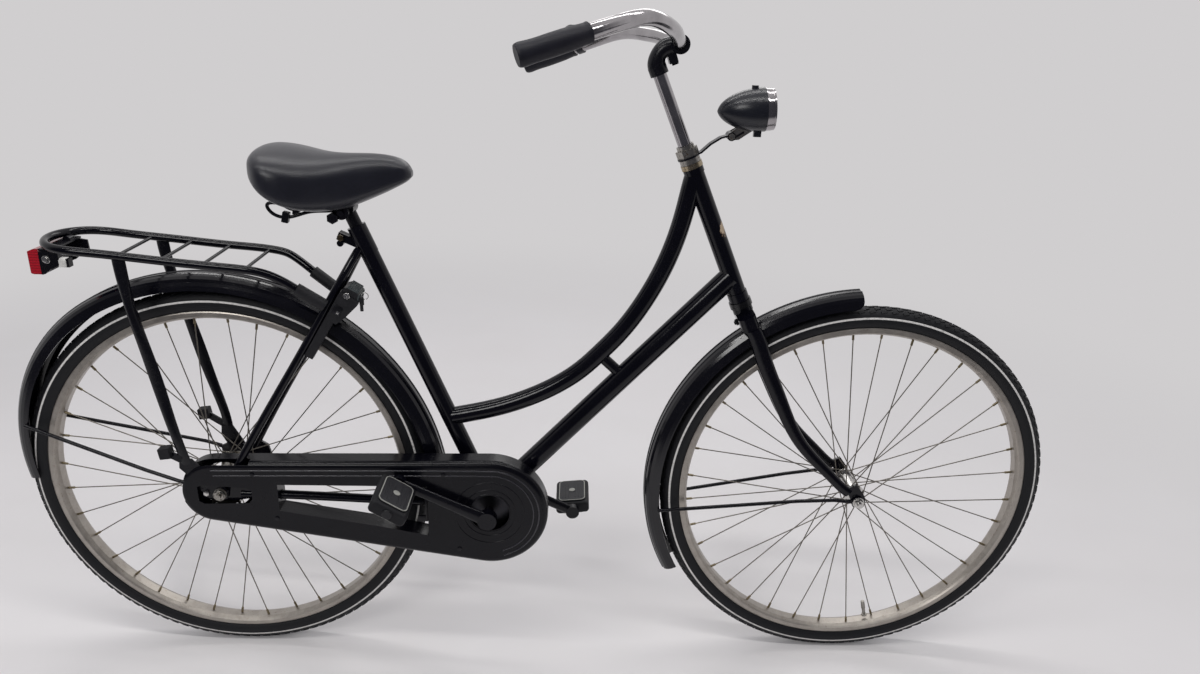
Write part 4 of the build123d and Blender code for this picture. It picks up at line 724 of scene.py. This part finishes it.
# headlamp: outlines as (ahead of its tail, radius) for the bright bowl, the bulb and the rim's roll
lamp = {
    "tail": place(839, 0, 680.5), "tilt": 4, "wall": 0.6,
    "bowl": [(80, 28), (76, 26), (68, 21.5), (60, 15), (55, 9), (53.5, 4.5)],
    "bulb": [(53, 4.5), (58, 4.5), (59, 6), (64, 6.2), (68, 4.4), (70, 0.01)],
    "roll": [(75.2, 34.4), (76.4, 34.6), (78.5, 33.9), (86, 33.6), (89, 32.6), (90.4, 30.6),
             (90.2, 28.7)],
}
lampAxis = Vector((cos(radians(lamp["tilt"])), 0, sin(radians(lamp["tilt"]))))
bm = bmesh.new()
addTurned(bm, lamp["bowl"], lamp["tail"], 48, axis=lampAxis)
bowl = finishPiece("lampReflector", bm, "steering", steelBright)
wall = bowl.modifiers.new("wall", "SOLIDIFY")
wall.thickness = lamp["wall"] / 1000
wall.offset = 0
bm = bmesh.new()
addTurned(bm, lamp["bulb"], lamp["tail"], 24, axis=lampAxis)
finishPiece("lampBulb", bm, "steering", lampGlass)
bm = bmesh.new()
addTurned(bm, lamp["roll"], lamp["tail"], 64, axis=lampAxis)
finishPiece("lampBezelRoll", bm, "steering", chromePlate, 60)
print("headlamp made")

# ring lock: ribbed grey cap on its housing, a bright key cylinder, the slider, and the key on its
# ring; it stands along a line from the rear axle, so its places are (ahead of the line, y, out)
lock = {
    "angle": 59.5, "capY": -24, "capX": (15, 34.5), "capTop": 451, "capWidth": 41,
    "front": (38.9, 441.5), "frontTilt": -16, "frontHeight": 15.5,
    "ribs": 7, "ribPitch": 5.6, "ribWidth": 2.4, "ribHeight": 1.8,
    "cylinder": (20.5, -44, 438.5),
    "barrel": [(1.0, 5.4), (-3.2, 5.4), (-3.8, 4.7), (-3.8, 1.8), (-2.4, 1.6), (-2.4, 0.01)],
    "slider": (18, -46.6, 408), "pin": (21, 405), "keyRing": (45.5, -40, 452, 6.4),
    "key": [((7.6, 3.4, 14), (263.4, -41, 357.5), 1.4),
            ((5.6, 2.6, 14), (262.8, -41, 346.5), 1.0)],
}
lockOut = Vector((cos(radians(lock["angle"])), 0, sin(radians(lock["angle"]))))
lockFore = Vector((lockOut.z, 0, -lockOut.x))
lockTurn = Matrix((lockFore, Vector((0, 1, 0)), lockOut)).transposed().to_4x4()


def lockPlace(fore, y, out):
    return rearHub + (lockFore * fore + Vector((0, y, 0)) + lockOut * out) / 1000


def lockFrame(fore, y, out):
    return Matrix.Translation(lockPlace(fore, y, out)) @ lockTurn


back, fore = lock["capX"]
top = lockFrame((back + fore) / 2, lock["capY"], lock["capTop"])
frontX, frontOut = lock["front"]
front = lockFrame(frontX, lock["capY"], frontOut)
front = front @ Matrix.Rotation(radians(lock["frontTilt"]), 4, "Y")
bm = bmesh.new()
addBlock(bm, (fore - back, lock["capWidth"], 2), top @ shiftBy(0, 0, 0.6), 0.6)
addBlock(bm, (2, lock["capWidth"], lock["frontHeight"]), front, 0.6)
for row in range(lock["ribs"]):
    across = (row - (lock["ribs"] - 1) / 2) * lock["ribPitch"]
    rib = (fore - back - 1, lock["ribWidth"], lock["ribHeight"])
    addBlock(bm, rib, top @ shiftBy(0, across, 1.9), 0.6)
    rib = (lock["ribHeight"], lock["ribWidth"], lock["frontHeight"] - 1.5)
    addBlock(bm, rib, front @ shiftBy(1.4, across, 0), 0.6)
finishPiece("lockCap", bm, "frame", lockPlastic)
bm = bmesh.new()
addTurned(bm, lock["barrel"], lockPlace(*lock["cylinder"]), 32, side=Vector((1, 0, 0)))
pinX, pinOut = lock["pin"]
addRod(bm, lockPlace(pinX, -48.4, pinOut), lockPlace(pinX, -47.2, pinOut), 2.6, 16, 0.4)
finishPiece("lockCylinder", bm, "frame", steelBright)
bm = bmesh.new()
addBlock(bm, (15, 1.6, 16), lockFrame(*lock["slider"]), 0.5)
finishPiece("lockSlider", bm, "frame", darkSteelAndCaseShade)
ringX, ringY, ringOut, radius = lock["keyRing"]
ringLine = [lockPlace(ringX + radius * cos(turn), ringY, ringOut + radius * sin(turn))
            for turn in (eighth * pi / 4 for eighth in range(8))]
wirePiece("lockKeyRing", ringLine, 0.7, "frame", steelBright, 4, cyclic=True)
blockPiece("lockKey", "frame", blackPlastic, lock["key"])
print("ring lock made")

# small fastenings in bright and brass plate
fastening = {
    "seatClamp": (228, 457.9), "tailBracket": (-237.5, 416.6), "brakeArm": (-23.5, 1.7),
    "washer": [(0.2, 6.6), (-1.2, 6.6), (-1.5, 6.2), (-1.5, 0.01)],
    "guardStud": (-362.8, 108.5), "guardStudTurn": 170.2,
    "plug": [((13.5, 14.2, 15), (-213.5, -40, 411), 2.2, 3)],
    "axleWasher": [(0, 10.4), (2.6, 10.4), (3.2, 9.4)], "axleWasherOut": 72.2,
    "rivet": (-32.6, 27.5, 364.1),  # from the front hub
    "lampBolt": (864, 642.5), "ears": (-7.2, 6.1), "earThickness": 1.1,
    "earLine": [(861, 635.6), (876.5, 637.4), (897, 651.8), (892.6, 660.8), (873.6, 656.8),
                (861, 648.6)],
}
x, z = fastening["seatClamp"]
rodPiece("seatClampBolt", "frame", brassPlate, [
    (place(x, -16.5, z), place(x, -13, z), 5.8, 6, 0.6)])
x, z = fastening["tailBracket"]
bm = bmesh.new()
addTurned(bm, fastening["washer"], place(x, -46.8, z), 28)
addRod(bm, place(x, -51.4, z), place(x, -48.2, z), 4.6, 6, 0.6)
finishPiece("tailBracketBolt", bm, "frame", steelBright)
x, z = fastening["guardStud"]
turn = radians(fastening["guardStudTurn"])
along = Vector((cos(turn), 0, sin(turn))) / 1000
rodPiece("guardStud", "frame", satinEnamel, [
    (place(x, 0, z) - along * 2.4, place(x, 0, z) + along * 4.6, 4.2, 6, 0.5),
    (place(x, 0, z) - along * 2.4, place(x, 0, z) + along * 1.2, 6.2, 20, 0.4)])
blockPiece("tailPlugCover", "frame", clearSleeve, fastening["plug"])
bm = bmesh.new()
for side in (-1, 1):
    outline = [(side * along, radius) for along, radius in fastening["axleWasher"]]
    addTurned(bm, outline, rearHub + Vector((0, side * fastening["axleWasherOut"] / 1000, 0)), 28)
finishPiece("rearWashers", bm, "frame", dullPlate)
x, z = fastening["brakeArm"]
rodPiece("brakeArmNut", "frame", steelBright, [
    (place(x, -71.8, z), place(x, -66, z), 5.2, 6, 0.6),
    (place(x, -73.6, z), place(x, -71.8, z), 2.6, 12)])
x, y, z = fastening["rivet"]
rodPiece("guardFrontRivets", "steering", steelBright, [
    (frontHub + Vector((x, side * y, z)) / 1000,
     frontHub + Vector((x, side * (y + 1.6), z)) / 1000, 2.8, 12) for side in (-1, 1)])
rodPiece("crownGuardBolt", "steering", satinEnamel, [
    (place(918, 0, 331), place(899, 0, 320.5), 3.4, 20, 0.5),
    (place(905.5, 0, 324.2), place(901, 0, 321.6), 6.2, 6, 0.6)])
bm = bmesh.new()
for y in fastening["ears"]:
    ear = bm.faces.new([bm.verts.new(place(x, y, z)) for x, z in fastening["earLine"]])
    grown = bmesh.ops.extrude_face_region(bm, geom=[ear])["geom"]
    bmesh.ops.translate(bm, verts=[v for v in grown if isinstance(v, bmesh.types.BMVert)],
                        vec=(0, fastening["earThickness"] / 1000, 0))
x, z = fastening["lampBolt"]
addRod(bm, place(x, -14.5, z), place(x, -11.8, z), 5.8, 6, 0.5)
finishPiece("lampBracketEars", bm, "steering", dullPlate)
print("fastenings made")

# plain floor that fades into the wall's colour, and a darker room that only reflections show
stage = {
    "wall": "#d0cecf", "room": "#4c4c52", "floor": "#dddad9", "mottle": "#e3e1e1",
    "sky": "#e6e6ec", "skyStrength": 0.6, "fade": (1.3, 3.6),  # metres from the middle
    "roomFloor": (-0.7, -1.4), "roomWall": (-0.05, -0.55),  # the darker side: start, full
}
floorLevel = min(v.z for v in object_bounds())
bm = bmesh.new()
bmesh.ops.create_grid(bm, x_segments=4, y_segments=4, size=30.0,
                      matrix=Matrix.Translation((0, 0, floorLevel)))
floorMesh = bpy.data.meshes.new("studioFloor")
bm.to_mesh(floorMesh)
bm.free()
floor = bpy.data.objects.new("studioFloor", floorMesh)
bpy.context.scene.collection.objects.link(floor)
floor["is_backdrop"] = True
floorMat, tree, floorShader, coords = startMaterial("paleFloor", {"Specular IOR Level": 0.1})
mottle = addNode(tree, "TexNoise", {
    "Vector": coords, "Scale": perMetre(333.3), "Detail": 3, "Roughness": 0.55})
dressSurface(tree, floorShader, [stage["floor"], (mottle, stage["mottle"])], [0.8], [])
away = addNode(tree, "VectorMath", {"operation": "LENGTH", 0: coords})
start, end = stage["fade"]
fade = addNode(tree, "MapRange", {
    "interpolation_type": "SMOOTHERSTEP", "Value": away, "From Min": start, "From Max": end})
glow = addNode(tree, "Emission", {"Color": stage["wall"], "Strength": 1.0})
faded = addNode(tree, "MixShader", {0: fade, 1: floorShader, 2: glow})
spot = addNode(tree, "SeparateXYZ", {"Vector": coords})
start, end = stage["roomFloor"]
near = addNode(tree, "MapRange", {
    "interpolation_type": "SMOOTHSTEP", "Value": spot.outputs["Y"],
    "From Min": start, "From Max": end})
path = addNode(tree, "LightPath", {}).outputs
shade = addNode(tree, "Math", {"operation": "MULTIPLY", 0: near, 1: path["Is Glossy Ray"]})
dim = addNode(tree, "Emission", {"Color": stage["room"], "Strength": 1.0})
surface = addNode(tree, "MixShader", {0: shade, 1: faded, 2: dim})
setValues(tree, tree.nodes["Material Output"], {"Surface": surface})
floorMesh.materials.append(floorMat)

world = bpy.data.worlds.new("studioWorld")
world.use_nodes = True
sky = world.node_tree
soft = sky.nodes["Background"]
setValues(sky, soft, {"Color": stage["sky"], "Strength": stage["skyStrength"]})
facing = addNode(sky, "SeparateXYZ", {"Vector": addNode(sky, "TexCoord", {}).outputs["Generated"]})
start, end = stage["roomWall"]
room = addNode(sky, "MapRange", {
    "interpolation_type": "SMOOTHSTEP", "Value": facing.outputs["Y"],
    "From Min": start, "From Max": end})
path = addNode(sky, "LightPath", {}).outputs
darker = addNode(sky, "Math", {"operation": "MULTIPLY", 0: room, 1: path["Is Glossy Ray"]})
wall = addNode(sky, "Mix", {"data_type": "RGBA", 0: darker, 6: stage["wall"], 7: stage["room"]})
plain = addNode(sky, "Background", {"Color": wall, "Strength": 1.0})
seen = path["Is Camera Ray"]
for ray in ("Is Glossy Ray", "Is Transmission Ray"):
    seen = addNode(sky, "Math", {"operation": "MAXIMUM", 0: seen, 1: path[ray]})
surface = addNode(sky, "MixShader", {0: seen, 1: soft, 2: plain})
setValues(sky, sky.nodes["World Output"], {"Surface": surface})
bpy.context.scene.world = world

# soft boxes as (place, aim, size, power): two strips overhead, one box before and one behind
softBoxes = {
    "ceilingStripNear": ((0.3, -0.85, 1.75), (0.4, 0, -0.5), (3.4, 0.14), 22),
    "ceilingStripFar": ((0.5, 0.75, 1.9), (0.4, 0, -0.5), (3.4, 0.14), 18),
    "frontBox": ((-1.1, -2.6, 1.5), (0.4, 0, -0.3), (1.2, 0.8), 24),
    "backBox": ((1.2, 2.6, 1.4), (0.4, 0, -0.3), (2.0, 0.8), 12),
}
for name, (spot, aim, size, power) in softBoxes.items():
    light = bpy.data.lights.new(name, "AREA")
    light.shape = "RECTANGLE"
    light.size, light.size_y = size
    light.energy = power
    light.color = (1.0, 0.99, 0.98)
    box = bpy.data.objects.new(name, light)
    box.location = spot
    box.rotation_euler = (Vector(aim) - Vector(spot)).to_track_quat("-Z", "Y").to_euler()
    bpy.context.scene.collection.objects.link(box)

view = {"place": (610.7, -1425.7, 821.3), "turn": (69.521, -2.024, -1.408),
        "sensor": 36, "lens": 26.02}
camera = bpy.data.cameras.new("viewCamera")
camera.sensor_width = view["sensor"]
camera.lens = view["lens"]
cameraObject = bpy.data.objects.new("viewCamera", camera)
cameraObject.location = place(*view["place"])
cameraObject.rotation_euler = [radians(turn) for turn in view["turn"]]
bpy.context.scene.collection.objects.link(cameraObject)
bpy.context.scene.camera = cameraObject
bpy.context.scene.view_settings.view_transform = "Standard"
print("floor, light and camera made")
